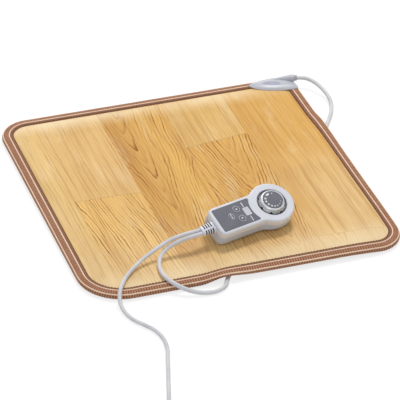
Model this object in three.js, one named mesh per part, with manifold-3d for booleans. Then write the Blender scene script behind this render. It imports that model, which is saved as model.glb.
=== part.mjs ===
// Heated seat pad with a wired hand controller: a sewn pad with a bound edge, a junction
// housing clamped on its back right corner, and a two-shell handset that lies on the pad
// with a dial, three keys and a small display. Millimetres, +Z up. The origin is under the
// middle of the pad, on the surface that the pad lies on.

import * as THREE from 'three';
import { mergeVertices } from 'three/addons/utils/BufferGeometryUtils.js';
import Module from 'manifold-3d';

// Clearances and facets
const GAP = 0.3;
const CUT_MARGIN = 2;
const ROUND_FACETS = 24;
const SMALL_FACETS = 12;
const KEY_FACETS = 14;
const PIN_FACETS = 8;

// Pad: layers from the bottom up, and the bound edge
const PAD_SIDE = 450;
const PAD_CORNER = 42;
const PAD_CORNER_FRONT_LEFT = 61;
const COVER = 1.2;
const FELT = 4.0;
const HEATER_THICKNESS = 1.9;
const HEATER_WIDTH = 4;
const HEATER_RUNS = 6;
const HEATER_MARGIN = 48;
const BINDING_WIDTH = 16;
const BINDING_THICKNESS = 0.9;
const BINDING_PROUD = 0.3;
const EDGE_ROUND = 6;
const COVER_INSET = 3.5;
const COVER_RAMP = 8;

// Rise of the pad over the lead that runs under it
const RISE_SLACK = 1.6;
const RISE_INNER_REACH = 38;
const RISE_OUTER_REACH = 52;
const PAD_GIVE = 0.5;

// Corner junction housing, measured from the pad's back right corner
const HOUSING_LENGTH = 70;
const HOUSING_DEPTH = 38;
const HOUSING_FLANGE = 1.7;
const HOUSING_DOME = 6.0;
const HOUSING_WALL = 1.6;
const HOUSING_BOSS = 3.2;
const HOUSING_PLATE = 1.6;
const OUTLET_RADIUS = 5.3;
const OUTLET_HEIGHT = 5.7;
const DISH_LENGTH = 28;
const DISH_WIDTH = 11;
const DISH_DEPTH = 0.8;
const SLEEVE_RADIUS = 4.0;
const SLEEVE_ROOT = 4.4;
const SLEEVE_LENGTH = 4.4;
const THERMOSTAT_RADIUS = 5.5;
const THERMOSTAT_HEIGHT = 3.4;
const FUSE_RADIUS = 1.8;
const FUSE_LENGTH = 11;

// Handset: outline in plan, seen from the dial's axis, and its heights from the belly line
const HANDSET_X = 61.05;
const HANDSET_Y = -112.17;
const HANDSET_HEADING = THREE.MathUtils.degToRad(14.8);
const HANDSET_ROLL = THREE.MathUtils.degToRad(22);
const HANDSET_THICKNESS = 31;
const HEAD_RADIUS = 32;
const BODY_HALF_WIDTH = 23;
const BODY_LENGTH = 93.5;
const BODY_CORNER = 9;
const NECK_RADIUS = 18;
const BELLY_RADIUS = 55;
const TOP_EDGE = 3;
const BELLY_EDGE = 4.5;
const CASE_WALL = 2.2;
const PARTING_DEPTH = 10;
const BOARD_DROP = 3.4;
const BOARD_THICKNESS = 1.6;
const BOARD_INSET = 6;

// Dial
const WELL_RADIUS = 21;
const WELL_DEPTH = 4;
const DIAL_RADIUS = 19.4;
const DIAL_TOP_RADIUS = 15.6;
const DIAL_PROUD = 5;
const DIAL_NOTCHES = 8;
const NOTCH_RADIUS = 3.0;
const NOTCH_TURN = THREE.MathUtils.degToRad(-13);
const CAP_RADIUS = 14;
const CAP_THICKNESS = 1.4;
const SHAFT_RADIUS = 3;
const POT_RADIUS = 8;

// Panel, keys and display
const PANEL_MARGIN = 5.5;
const PANEL_HALF_WIDTH = 18.5;
const PANEL_ARC = 34;
const PANEL_CORNER = 2;
const PANEL_THICKNESS = 0.5;
const PANEL_POCKET = 0.6;
const PANEL_PROUD = 0.2;
const KEY_RADIUS = 5.6;
const KEY_LIP = 1.2;
const KEY_PROUD = 0.6;
const KEY_TRAVEL = 0.5;
const KEY_X = -54;
const KEY_SPREAD = 8.1;
const POWER_KEY_X = -66.6;
const POWER_KEY_RATIO = 0.76;
const WINDOW_X = -41;
const WINDOW_LENGTH = 9;
const WINDOW_WIDTH = 13.2;
const SWITCH_SIDE = 6;
const SWITCH_HEIGHT = 3.6;
const PLUNGER_RADIUS = 1.7;

// Handset screws
const SCREW_RADIUS = 1.3;
const SCREW_HEAD_RADIUS = 2.7;
const SCREW_HEAD_HEIGHT = 1.8;
const SCREW_GRIP = 9;
const POST_RADIUS = 3.6;
const BODY_POST_INSET = 10;
const BODY_POST_Y = 14.8;
const HEAD_POST_RING = 25.4;
const HEAD_POST_ANGLE = THREE.MathUtils.degToRad(60);

// Strain relief for both leads at the handset's end
const STRAIN_LENGTH = 19.5;
const STRAIN_RIBS = 4;
const STRAIN_ROOT_HALF_WIDTH = 9.4;
const STRAIN_ROOT_HALF_HEIGHT = 6.2;
const STRAIN_TIP_HALF_WIDTH = 6.7;
const STRAIN_TIP_HALF_HEIGHT = 4;
const STRAIN_NECK_HALF_WIDTH = 8.4;
const STRAIN_NECK_HALF_HEIGHT = 5;
const STRAIN_FLANGE = 2.4;

// Terminal block behind the strain relief, and the ribs that carry the board
const TERMINAL_INSET = 13.2;
const TERMINAL_LENGTH = 8;
const TERMINAL_HEIGHT = 8;
const TERMINAL_WAYS = 4;
const TERMINAL_PITCH = 4.4;
const TERMINAL_WELL_RADIUS = 1.4;
const BOARD_REST_INSET = 27;
const BOARD_REST_X = -14;
const BOARD_REST_WIDTH = 26;
const BOARD_REST_THICKNESS = 2;

// Leads
const PAD_LEAD_RADIUS = 3.0;
const MAINS_RADIUS = 2.7;
const PAD_LEAD_OFFSET = -3.2;
const MAINS_OFFSET = 3.0;
const LEAD_FACETS = 8;

// Stored length of the mains lead, and its plug
const COIL_X = -178.8;
const COIL_Y = -520.1;
const COIL_MEAN_RADIUS = 31;
const COIL_COLUMNS = 3;
const COIL_LAYERS = 2;
const TIE_WIDTH = 9;
const TIE_THICKNESS = 1;
const TIE_SLACK = 0.8;
const PLUG_X = -86;
const PLUG_Y = -556.5;
const PLUG_GLAND_LENGTH = 22;
const PLUG_BODY_LENGTH = 26;
const PLUG_THICKNESS = 13.7;
const PLUG_WIDTH = 26;
const PIN_SPACING = 18.6;
const PIN_RADIUS = 2;
const PIN_LENGTH = 19;
const PIN_ROOT = 6;

// Heights that follow from the sizes above
const FELT_LOW = COVER + GAP;
const HEATER_LOW = FELT_LOW + FELT + GAP;
const COVER_LOW = HEATER_LOW + HEATER_THICKNESS + GAP;
const PAD_TOP = COVER_LOW + COVER;
const BINDING_TOP = PAD_TOP + BINDING_PROUD;
const EDGE_MIDDLE = BINDING_TOP / 2;
const SEWN_TOP = BINDING_TOP - BINDING_THICKNESS - 2 * GAP;
const SEWN_LOW = Math.max(BINDING_THICKNESS, HOUSING_PLATE) + 2 * GAP;
const HOUSING_BASE = BINDING_TOP + GAP;
const CORNER = PAD_SIDE / 2;
const PARTING = HANDSET_THICKNESS - PARTING_DEPTH;
const BOARD_TOP = PARTING - BOARD_DROP;
const BOARD_LOW = BOARD_TOP - BOARD_THICKNESS;
const CEILING = HANDSET_THICKNESS - CASE_WALL;
const WELL_FLOOR = HANDSET_THICKNESS - WELL_DEPTH;
const PANEL_TOP = HANDSET_THICKNESS + PANEL_PROUD;
const SWITCH_TOP = BOARD_TOP + GAP + SWITCH_HEIGHT + 1.4;
const STRAIN_TIP = BODY_LENGTH + STRAIN_LENGTH;
const PANEL_LEFT = BODY_LENGTH - PANEL_MARGIN;
const BODY_POST_X = BODY_POST_INSET - BODY_LENGTH;
const TERMINAL_X = TERMINAL_INSET - BODY_LENGTH;
const PLUG_MIDDLE = PLUG_THICKNESS / 2 + GAP / 2;

// Pad lead, from the corner housing under the pad to the loop in front of it
const PAD_LEAD_BACK = [
  [239.4, 203.2, 15.3], [245.6, 197.6, 14.6], [250.8, 189.6, 13.4], [255.1, 179.4, 11.3],
  [258.0, 167.6, 9.0], [258.9, 154.8, 6.9], [256.6, 139.8, 5.0], [249.9, 122.6, 3.7],
  [240.6, 106.6, 3.3],
];
const PAD_LEAD_HIDDEN = [
  [229.5, 89.5, 3.2], [217.0, 66.5, 3.2], [206.5, 39.0, 3.2], [199.5, 6.0, 3.2],
  [194.5, -38.0, 3.2], [192.5, -88.0, 3.2], [191.5, -138.0, 3.2], [180.0, -178.5, 3.2],
  [142.0, -195.5, 3.2], [88.0, -197.5, 3.2], [40.0, -198.0, 3.2], [10.0, -199.5, 3.2],
  [-13.0, -204.0, 3.2], [-27.5, -213.0, 3.2], [-35.5, -224.5, 3.2],
];
const PAD_LEAD_FRONT = [
  [-42.5, -236.0, 3.2], [-53.6, -242.6, 3.2], [-67.5, -243.6, 3.2], [-82.8, -240.4, 4.8],
  [-97.2, -233.8, 8.6], [-108.2, -224.0, 12.3], [-114.7, -210.5, 13.3], [-116.8, -193.6, 12.8],
  [-113.9, -176.0, 13.6], [-107.4, -164.0, 16.9], [-97.4, -157.6, 21.7], [-83.3, -155.2, 27.0],
  [-67.2, -154.4, 30.8],
];

// Mains lead, from the handset over the pad's front edge to the coil, and from there to the plug
const MAINS_ROUTE = [
  [-69.4, -149.2, 33.8], [-87.7, -151.0, 31.2], [-106.5, -155.4, 26.0], [-126.0, -162.0, 19.8],
  [-142.4, -170.4, 15.2], [-158.1, -183.0, 12.9], [-171.5, -199.4, 12.6], [-181.0, -216.0, 12.5],
  [-186.2, -229.2, 9.6], [-187.4, -240.0, 5.6], [-186.4, -250.6, 3.4], [-183.8, -261.6, 2.9],
  [-178.6, -273.6, 2.9], [-170.8, -284.8, 2.9], [-162.4, -298.0, 2.9], [-157.4, -316.0, 2.9],
  [-158.4, -338.0, 2.9], [-166.6, -366.0, 2.9], [-178.8, -404.0, 2.9], [-191.4, -443.0, 2.9],
  [-201.0, -472.0, 3.2], [-206.7, -489.0, 4.1],
];
const MAINS_TAIL = [
  [-158.0, -556.5, 9.5], [-140.0, -556.5, 8.4], [-115.0, -556.5, 7.2], [-98.0, -556.5, 7.0],
  [-86.3, -556.5, 7.0],
];
const MAINS_STEPS = 34;
const PAD_LEAD_STEPS = 50;
const TAIL_STEPS = 5;

const wasm = await Module();
wasm.setup();

// Geometry helpers

function signedVolume(position, index) {
  const a = new THREE.Vector3();
  const b = new THREE.Vector3();
  const c = new THREE.Vector3();
  let volume = 0;
  for (let i = 0; i < index.length; i += 3) {
    a.fromBufferAttribute(position, index[i]);
    b.fromBufferAttribute(position, index[i + 1]);
    c.fromBufferAttribute(position, index[i + 2]);
    volume += a.dot(b.cross(c));
  }
  return volume;
}

// Welds a geometry, drops faces with no area and turns its faces outwards.
function closed(geometry) {
  const bare = geometry.clone();
  bare.deleteAttribute('normal');
  bare.deleteAttribute('uv');
  const welded = mergeVertices(bare, 1e-4);
  const faces = [];
  const source = welded.index.array;
  for (let i = 0; i < source.length; i += 3) {
    const [a, b, c] = [source[i], source[i + 1], source[i + 2]];
    if (a !== b && b !== c && c !== a) {
      faces.push(a, b, c);
    }
  }
  if (signedVolume(welded.attributes.position, faces) < 0) {
    faces.reverse();
  }
  welded.setIndex(faces);
  return welded;
}

function toSolid(geometry) {
  const shell = closed(geometry);
  return new wasm.Manifold(new wasm.Mesh({
    numProp: 3,
    vertProperties: new Float32Array(shell.attributes.position.array),
    triVerts: new Uint32Array(shell.index.array),
  }));
}

function toGeometry(solid) {
  const mesh = solid.getMesh();
  const geometry = new THREE.BufferGeometry();
  geometry.setAttribute('position', new THREE.Float32BufferAttribute(mesh.vertProperties, mesh.numProp));
  geometry.setIndex(new THREE.Uint32BufferAttribute(mesh.triVerts, 1));
  return geometry;
}

// Joins and then cuts a geometry.
function shaped(base, added, cuts) {
  let solid = toSolid(base);
  for (const geometry of added) {
    solid = solid.add(toSolid(geometry));
  }
  for (const geometry of cuts) {
    solid = solid.subtract(toSolid(geometry));
  }
  return toGeometry(solid);
}

// Triangles that close a ring of points, turning the same way as the ring.
function capFaces(ring) {
  const normal = new THREE.Vector3();
  ring.forEach((point, i) => {
    const next = ring[(i + 1) % ring.length];
    normal.add(new THREE.Vector3().crossVectors(point, next));
  });
  const size = normal.toArray().map(Math.abs);
  const dropped = size.indexOf(Math.max(...size));
  const [first, second] = [[1, 2], [2, 0], [0, 1]][dropped];
  const flat = ring.map((point) => new THREE.Vector2(point.getComponent(first), point.getComponent(second)));
  const turning = Math.sign(THREE.ShapeUtils.area(flat));
  return THREE.ShapeUtils.triangulateShape(flat, []).map(([a, b, c]) => {
    const face = Math.sign(THREE.ShapeUtils.area([flat[a], flat[b], flat[c]]));
    return face === turning ? [a, b, c] : [a, c, b];
  });
}

// Skin through rings with equal counts of points, capped at both ends or joined into a loop.
// From the band named by mirroredFrom on, each four-sided face is split the other way, so
// that the two sides of a thin layer have the same creases.
function loft(rings, { looped = false, mirroredFrom = Infinity } = {}) {
  const count = rings[0].length;
  const faces = [];
  const bands = looped ? rings.length : rings.length - 1;
  for (let band = 0; band < bands; band += 1) {
    const here = band * count;
    const next = ((band + 1) % rings.length) * count;
    for (let i = 0; i < count; i += 1) {
      const j = (i + 1) % count;
      if (band < mirroredFrom) {
        faces.push(here + i, here + j, next + j, here + i, next + j, next + i);
      } else {
        faces.push(here + i, here + j, next + i, here + j, next + j, next + i);
      }
    }
  }
  if (!looped) {
    const end = (rings.length - 1) * count;
    capFaces(rings[0]).forEach(([a, b, c]) => faces.push(c, b, a));
    capFaces(rings.at(-1)).forEach(([a, b, c]) => faces.push(end + a, end + b, end + c));
  }
  const geometry = new THREE.BufferGeometry().setFromPoints(rings.flat());
  geometry.setIndex(faces);
  return closed(geometry);
}

function plate(shape, low, high, curveSegments = 8) {
  const options = { depth: high - low, bevelEnabled: false, curveSegments };
  return new THREE.ExtrudeGeometry(shape, options).translate(0, 0, low);
}

function post(radius, low, high, x = 0, y = 0, facets = SMALL_FACETS) {
  const cylinder = new THREE.CylinderGeometry(radius, radius, high - low, facets);
  return cylinder.rotateX(Math.PI / 2).translate(x, y, (low + high) / 2);
}

function screwHoles(places, radius, low, high) {
  return places.map(([x, y]) => post(radius, low, high, x, y, PIN_FACETS));
}

function box(length, width, low, high, x = 0, y = 0) {
  return new THREE.BoxGeometry(length, width, high - low).translate(x, y, (low + high) / 2);
}

// Solid of revolution about Z from [radius, height] pairs.
function turned(profile, facets = SMALL_FACETS) {
  const points = profile.map(([radius, height]) => new THREE.Vector2(radius, height));
  return closed(new THREE.LatheGeometry(points, facets).rotateX(Math.PI / 2));
}

function tube(points, radius, steps) {
  const section = new THREE.Shape();
  section.absarc(0, 0, radius, 0, 2 * Math.PI);
  const path = new THREE.CatmullRomCurve3(points);
  const options = { extrudePath: path, steps, bevelEnabled: false, curveSegments: LEAD_FACETS / 2 };
  return new THREE.ExtrudeGeometry(section, options);
}

function roundedBar(length, width, radius) {
  const [x, y] = [length / 2 - radius, width / 2 - radius];
  const shape = new THREE.Shape();
  shape.absarc(x, y, radius, 0, Math.PI / 2);
  shape.absarc(-x, y, radius, Math.PI / 2, Math.PI);
  shape.absarc(-x, -y, radius, Math.PI, 1.5 * Math.PI);
  shape.absarc(x, -y, radius, 1.5 * Math.PI, 2 * Math.PI);
  return shape;
}

function arcPoints(x, y, radius, from, to, steps) {
  return Array.from({ length: steps + 1 }, (_, k) => {
    const angle = from + (to - from) * k / steps;
    return new THREE.Vector2(x + radius * Math.cos(angle), y + radius * Math.sin(angle));
  });
}

function vectors(list) {
  return list.map((point) => new THREE.Vector3(...point));
}

function finish(color, roughness, metalness = 0) {
  return new THREE.MeshStandardMaterial({ color, roughness, metalness });
}

function place(group, name, geometry, material) {
  const mesh = new THREE.Mesh(closed(geometry), material);
  mesh.name = name;
  group.add(mesh);
  return mesh;
}

// Finishes
const VINYL = finish(0xe0b36a, 0.45);
const FELT_GREY = finish(0xb9b4aa, 0.95);
const HEATER_CORD = finish(0xd8d2c4, 0.7);
const BACKING = finish(0x8a6a50, 0.9);
const BROWN_TAPE = finish(0x96604a, 0.9);
const PALE_PLASTIC = finish(0xd9dfe8, 0.45);
const CASE_PLASTIC = finish(0xe1e2ea, 0.4);
const PANEL_GREY = finish(0x69676f, 0.5);
const KEY_GREY = finish(0x716f78, 0.5);
const WINDOW_GREY = finish(0xcdcfd4, 0.2);
const SILVER = finish(0xb4b8b6, 0.3, 0.6);
const STEEL = finish(0xb8bcc0, 0.35, 0.9);
const BOARD_GREEN = finish(0x3f6b4a, 0.6);
const DARK_PLASTIC = finish(0x33353a, 0.6);
const LEAD_GREY = finish(0xcfd1d6, 0.5);

// Pad

const SIDE_SHARES = {
  right: [0.16, 0.34, 0.5, 0.61, 0.68, 0.735, 0.79, 0.88],
  back: [],
  left: [],
  front: [0.1, 0.2, 0.29, 0.34, 0.385, 0.44, 0.52, 0.66, 0.8, 0.92],
};
const CORNER_STEPS = 4;
const PAD_RINGS = [41, 62, 88];
const EDGE_STEPS = 4;
const EDGE_STEPS_INSIDE = 2;
const SHARPEST_CORNER = 5;
const HEATER_TURN_STEPS = 4;

// Pad outline drawn in by an inset, anticlockwise from the front right corner.
function padOutline(inset) {
  const corners = [
    { x: 1, y: -1, radius: PAD_CORNER, shares: SIDE_SHARES.right },
    { x: 1, y: 1, radius: PAD_CORNER, shares: SIDE_SHARES.back },
    { x: -1, y: 1, radius: PAD_CORNER, shares: SIDE_SHARES.left },
    { x: -1, y: -1, radius: PAD_CORNER_FRONT_LEFT, shares: SIDE_SHARES.front },
  ];
  const arcs = corners.map(({ x, y, radius }, quarter) => {
    const bend = Math.max(radius - inset, SHARPEST_CORNER);
    const reach = CORNER - inset - bend;
    return Array.from({ length: CORNER_STEPS + 1 }, (_, k) => {
      const angle = ((quarter - 1) + k / CORNER_STEPS) * Math.PI / 2;
      return new THREE.Vector2(x * reach + bend * Math.cos(angle), y * reach + bend * Math.sin(angle));
    });
  });
  return corners.flatMap(({ shares }, quarter) => {
    const from = arcs[quarter].at(-1);
    const to = arcs[(quarter + 1) % arcs.length][0];
    return [...arcs[quarter], ...shares.map((share) => from.clone().lerp(to, share))];
  });
}

const ridge = new THREE.CatmullRomCurve3(vectors(PAD_LEAD_HIDDEN)).getSpacedPoints(60);

// How far the pad is lifted at a place by the lead under it: steeper on the side that is
// weighed down by the pad's middle than towards its free edge.
function rise(x, y) {
  const here = new THREE.Vector3(x, y, 0);
  const nearest = new THREE.Vector3();
  const found = new THREE.Vector3(0, 0, Infinity);
  for (let i = 1; i < ridge.length; i += 1) {
    const from = ridge[i - 1].clone().setZ(0);
    const to = ridge[i].clone().setZ(0);
    new THREE.Line3(from, to).closestPointToPoint(here, true, nearest);
    const distance = nearest.distanceTo(here);
    if (distance < found.z) {
      found.set(nearest.x, nearest.y, distance);
    }
  }
  const fromMiddle = (point) => Math.max(Math.abs(point.x), Math.abs(point.y));
  const reach = fromMiddle(here) > fromMiddle(found) ? RISE_OUTER_REACH : RISE_INNER_REACH;
  const share = Math.min(found.z / reach, 1);
  return (2 * PAD_LEAD_RADIUS + RISE_SLACK) * Math.cos(share * Math.PI / 2) ** 2;
}

// Ring of points round the pad: the padding gives, so that its top rises less than its underside.
function padRing(inset, height) {
  const share = 1 - PAD_GIVE * height / BINDING_TOP;
  return padOutline(inset).map(({ x, y }) => new THREE.Vector3(x, y, height + share * rise(x, y)));
}

// Layer of the pad from [inset, low, high] steps, rim first.
function padLayer(steps) {
  const top = steps.map(([inset, , high]) => padRing(inset, high)).reverse();
  const bottom = steps.map(([inset, low]) => padRing(inset, low));
  return loft([...top, ...bottom], { mirroredFrom: top.length });
}

function coverSteps(rimLow, sewnLow, low) {
  const flat = [BINDING_WIDTH + COVER_RAMP, ...PAD_RINGS].map((inset) => [inset, low, low + COVER]);
  return [
    [COVER_INSET, rimLow, rimLow + COVER],
    [BINDING_WIDTH + GAP, sewnLow, sewnLow + COVER],
    ...flat,
  ];
}

function innerSteps(low, high) {
  return [BINDING_WIDTH + COVER_RAMP, ...PAD_RINGS].map((inset) => [inset, low, high]);
}

// Edge of the binding tape at a depth inside its outer skin, as [inset, height] pairs.
function tapeSkin(depth, steps) {
  const bend = Array.from({ length: steps + 1 }, (_, k) => {
    const angle = Math.PI * (0.5 - k / steps);
    const inset = EDGE_ROUND - (EDGE_ROUND - depth) * Math.cos(angle);
    return [inset, EDGE_MIDDLE + (EDGE_MIDDLE - depth) * Math.sin(angle)];
  });
  return [[BINDING_WIDTH, BINDING_TOP - depth], ...bend, [BINDING_WIDTH, depth]];
}

function bindingTape() {
  const inside = tapeSkin(BINDING_THICKNESS, EDGE_STEPS_INSIDE).reverse();
  const section = [...tapeSkin(0, EDGE_STEPS), ...inside];
  return loft(section.map(([inset, height]) => padRing(inset, height)), { looped: true });
}

// Heating cord laid in runs from side to side, as a ribbon outline.
function heaterShape() {
  const half = CORNER - HEATER_MARGIN;
  const pitch = 2 * half / (HEATER_RUNS - 1);
  const reach = half - pitch / 2;
  const path = [new THREE.Vector2(reach, half)];
  for (let run = 0; run < HEATER_RUNS - 1; run += 1) {
    const way = run % 2 === 0 ? -1 : 1;
    const middle = half - (run + 0.5) * pitch;
    const start = Math.PI / 2;
    path.push(...arcPoints(way * reach, middle, pitch / 2, start, start - way * Math.PI, HEATER_TURN_STEPS));
  }
  path.push(new THREE.Vector2(HEATER_RUNS % 2 === 0 ? reach : -reach, -half));
  const sides = [1, -1].map((side) => path.map((point, i) => {
    const before = path[Math.max(i - 1, 0)];
    const after = path[Math.min(i + 1, path.length - 1)];
    const along = after.clone().sub(before).setLength(side * HEATER_WIDTH / 2);
    return new THREE.Vector2(point.x - along.y, point.y + along.x);
  }));
  return new THREE.Shape([...sides[0], ...sides[1].reverse()]);
}

function heaterCord() {
  const layer = toSolid(padLayer(innerSteps(HEATER_LOW, HEATER_LOW + HEATER_THICKNESS)));
  const ribbon = toSolid(plate(heaterShape(), 0, PAD_TOP + 4 * PAD_LEAD_RADIUS));
  return toGeometry(layer.intersect(ribbon));
}

// Corner housing

const HOUSING_SCREWS = [
  [CORNER - 0.7 * HOUSING_LENGTH, CORNER - BINDING_WIDTH / 2 - 1.5],
  [CORNER - BINDING_WIDTH / 2 - 1.5, CORNER - 0.75 * HOUSING_DEPTH],
];
const HOUSING_CENTRE = [CORNER - 0.47 * HOUSING_LENGTH, CORNER - 0.5 * HOUSING_DEPTH];
const OUTLET_FACE = new THREE.Vector3(
  CORNER - 0.8,
  CORNER - 0.45 * HOUSING_DEPTH,
  HOUSING_BASE + OUTLET_HEIGHT,
);
const OUTLET_WAY = new THREE.Vector3(0.978, -0.208, 0).normalize();
const DISH_PLACE = [CORNER - 0.53 * HOUSING_LENGTH, CORNER - 0.56 * HOUSING_DEPTH];

const HOUSING_CURVE_STEPS = 6;
const DOME_OUTSIDE = [12, 35, 58, 78];
const DOME_INSIDE = [12, 45, 78];

// Plan of the housing: a long shield with its point on the pad's back edge.
function housingPlan() {
  const at = (alongBack, alongRight) => [
    CORNER - alongBack * HOUSING_LENGTH,
    CORNER - alongRight * HOUSING_DEPTH,
  ];
  const plan = new THREE.Shape();
  plan.moveTo(...at(1, 0.29));
  plan.bezierCurveTo(...at(0.857, 0.763), ...at(0.5, 1.05), ...at(0.03, 1));
  plan.quadraticCurveTo(...at(0.004, 0.96), ...at(0.01, 0.8));
  plan.bezierCurveTo(...at(0.01, 0.34), ...at(0.157, 0.06), ...at(0.386, 0.05));
  plan.bezierCurveTo(...at(0.614, 0.04), ...at(0.886, 0.08), ...at(1, 0.29));
  return plan;
}

function housingRing(scale, height) {
  const outline = housingPlan().getPoints(HOUSING_CURVE_STEPS).slice(0, -1);
  return outline.map(({ x, y }) => {
    const point = new THREE.Vector3(x - HOUSING_CENTRE[0], y - HOUSING_CENTRE[1], 0).multiplyScalar(scale);
    return point.add(new THREE.Vector3(...HOUSING_CENTRE, height));
  });
}

// Dome rings from the flange up, at these degrees of a quarter ellipse over the plan.
function domeRings(turns, scale, low, high) {
  return turns.map((degrees) => {
    const angle = THREE.MathUtils.degToRad(degrees);
    return housingRing(scale * Math.cos(angle), low + (high - low) * Math.sin(angle));
  });
}

// Circle of points across a direction in the ground plane.
function crossRing(centre, way, radius) {
  const side = new THREE.Vector3(-way.y, way.x, 0);
  const up = new THREE.Vector3(0, 0, 1);
  return Array.from({ length: SMALL_FACETS }, (_, k) => {
    const angle = 2 * Math.PI * k / SMALL_FACETS;
    const point = centre.clone().addScaledVector(side, radius * Math.cos(angle));
    return point.addScaledVector(up, radius * Math.sin(angle));
  });
}

// Raised spine that swells towards the lead's outlet.
function outletSpine() {
  const stations = [[44, 0.2], [30, 0.45], [16, 0.75], [6, 1], [0, 0.97]];
  return loft(stations.map(([back, share]) => {
    const centre = OUTLET_FACE.clone().addScaledVector(OUTLET_WAY, -back);
    centre.z = HOUSING_BASE + OUTLET_HEIGHT * (0.35 + 0.65 * share);
    return crossRing(centre, OUTLET_WAY, OUTLET_RADIUS * share);
  }));
}

function housingUpper() {
  const base = HOUSING_BASE;
  const flange = base + HOUSING_FLANGE;
  const top = base + HOUSING_DOME;
  const outer = loft([
    housingRing(1, base), housingRing(1, flange - 0.5), housingRing(0.97, flange),
    ...domeRings(DOME_OUTSIDE, 0.92, flange, top),
  ]);
  const hollow = loft([
    housingRing(0.76, base - CUT_MARGIN), housingRing(0.76, flange),
    ...domeRings(DOME_INSIDE, 0.76, flange, top - HOUSING_WALL),
  ]);
  const dish = new THREE.SphereGeometry(1, 16, 6).scale(DISH_LENGTH / 2, DISH_WIDTH / 2, 2 * DISH_DEPTH);
  dish.rotateZ(-0.36).translate(...DISH_PLACE, top + DISH_DEPTH - 0.1);
  const socket = loft([CUT_MARGIN, -SLEEVE_ROOT - 2 * GAP].map((along) => (
    crossRing(OUTLET_FACE.clone().addScaledVector(OUTLET_WAY, along), OUTLET_WAY, SLEEVE_RADIUS + GAP)
  )));
  const bossTop = base + HOUSING_BOSS;
  const bosses = HOUSING_SCREWS.map(([x, y]) => post(SCREW_HEAD_RADIUS + 0.8, base, bossTop, x, y));
  const pilots = screwHoles(HOUSING_SCREWS, SCREW_RADIUS + GAP, base - 1, bossTop - 0.8);
  const under = box(4 * HOUSING_LENGTH, 4 * HOUSING_LENGTH, base - 4 * OUTLET_RADIUS, base, CORNER, CORNER);
  const shell = shaped(outer, [outletSpine()], [hollow, under]);
  return shaped(shell, bosses, [dish, socket, ...pilots]);
}

// Clamping plate under the pad's corner, as wide as the binding.
function housingLower() {
  const inside = new THREE.Shape(padOutline(BINDING_WIDTH + GAP));
  const inner = plate(inside, -CUT_MARGIN, HOUSING_PLATE + CUT_MARGIN);
  const holes = screwHoles(HOUSING_SCREWS, SCREW_RADIUS + GAP, -1, HOUSING_PLATE + 1);
  const sinks = screwHoles(HOUSING_SCREWS, SCREW_HEAD_RADIUS + GAP, -1, HOUSING_PLATE / 2 + GAP);
  return shaped(plate(housingPlan(), 0, HOUSING_PLATE), [], [inner, ...holes, ...sinks]);
}

// Room for the clamping plate and its screws, cut from the pad's layers.
function plateRoom() {
  return loft([housingRing(1.07, -CUT_MARGIN), housingRing(1.07, HOUSING_PLATE + GAP)]);
}

function screwRoom() {
  return screwHoles(HOUSING_SCREWS, SCREW_RADIUS + 2 * GAP, -CUT_MARGIN, 2 * PAD_TOP);
}

function housingScrew([x, y]) {
  const low = 0.2;
  const head = low + HOUSING_PLATE / 2 - 0.2;
  const tip = HOUSING_BASE + HOUSING_BOSS - 1.2;
  const profile = [[0, low], [SCREW_HEAD_RADIUS, low], [SCREW_HEAD_RADIUS, head], [SCREW_RADIUS, head],
    [SCREW_RADIUS, tip - 1], [0, tip]];
  return turned(profile, PIN_FACETS).translate(x, y, 0);
}

function sleeve() {
  const [root, tip] = [SLEEVE_ROOT + 2 * GAP, SLEEVE_ROOT + GAP + SLEEVE_LENGTH];
  const collar = SLEEVE_RADIUS + 0.7;
  const profile = [[0, 0], [SLEEVE_RADIUS, 0], [SLEEVE_RADIUS, root], [collar, root], [collar, root + 1.3],
    [collar - 0.8, root + 1.7], [collar - 0.8, root + 2.3], [collar - 0.2, root + 2.7],
    [PAD_LEAD_RADIUS + 0.6, tip], [0, tip]];
  return turned(profile, SMALL_FACETS);
}

// Handset outline drawn in by an inset: a round head, a concave neck and a straight body.
const NECK_CENTRE_Y = BODY_HALF_WIDTH + NECK_RADIUS;
const NECK_CENTRE_X = -Math.sqrt((HEAD_RADIUS + NECK_RADIUS) ** 2 - NECK_CENTRE_Y ** 2);
const NECK_ANGLE = Math.atan2(NECK_CENTRE_Y, NECK_CENTRE_X);
const HEAD_STEPS = 16;
const NECK_STEPS = 3;
const BODY_CORNER_STEPS = 3;
const TOP_EDGE_STEPS = 3;
const BELLY_EDGE_STEPS = 2;

function handsetOutline(inset) {
  const bend = Math.max(BODY_CORNER - inset, 0.8);
  const cornerX = -(BODY_LENGTH - inset - bend);
  const cornerY = BODY_HALF_WIDTH - inset - bend;
  const neck = NECK_RADIUS + inset;
  const [neckX, neckY] = [NECK_CENTRE_X, NECK_CENTRE_Y];
  const head = arcPoints(0, 0, HEAD_RADIUS - inset, -NECK_ANGLE, NECK_ANGLE, HEAD_STEPS);
  const backNeck = arcPoints(neckX, neckY, neck, NECK_ANGLE - Math.PI, -Math.PI / 2, NECK_STEPS);
  const backCorner = arcPoints(cornerX, cornerY, bend, Math.PI / 2, Math.PI, BODY_CORNER_STEPS);
  const frontCorner = arcPoints(cornerX, -cornerY, bend, Math.PI, 1.5 * Math.PI, BODY_CORNER_STEPS);
  const frontNeck = arcPoints(neckX, -neckY, neck, Math.PI / 2, Math.PI - NECK_ANGLE, NECK_STEPS);
  return [...head, ...backNeck.slice(1), ...backCorner, ...frontCorner, ...frontNeck.slice(0, -1)];
}

// Height of the rounded underside across the handset.
function belly(y) {
  return BELLY_RADIUS - Math.sqrt(BELLY_RADIUS ** 2 - y ** 2);
}

function levelRing(inset, height) {
  return handsetOutline(inset).map(({ x, y }) => new THREE.Vector3(x, y, height));
}

function bellyRing(inset, lift) {
  return handsetOutline(inset).map(({ x, y }) => new THREE.Vector3(x, y, belly(y) + lift));
}

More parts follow.
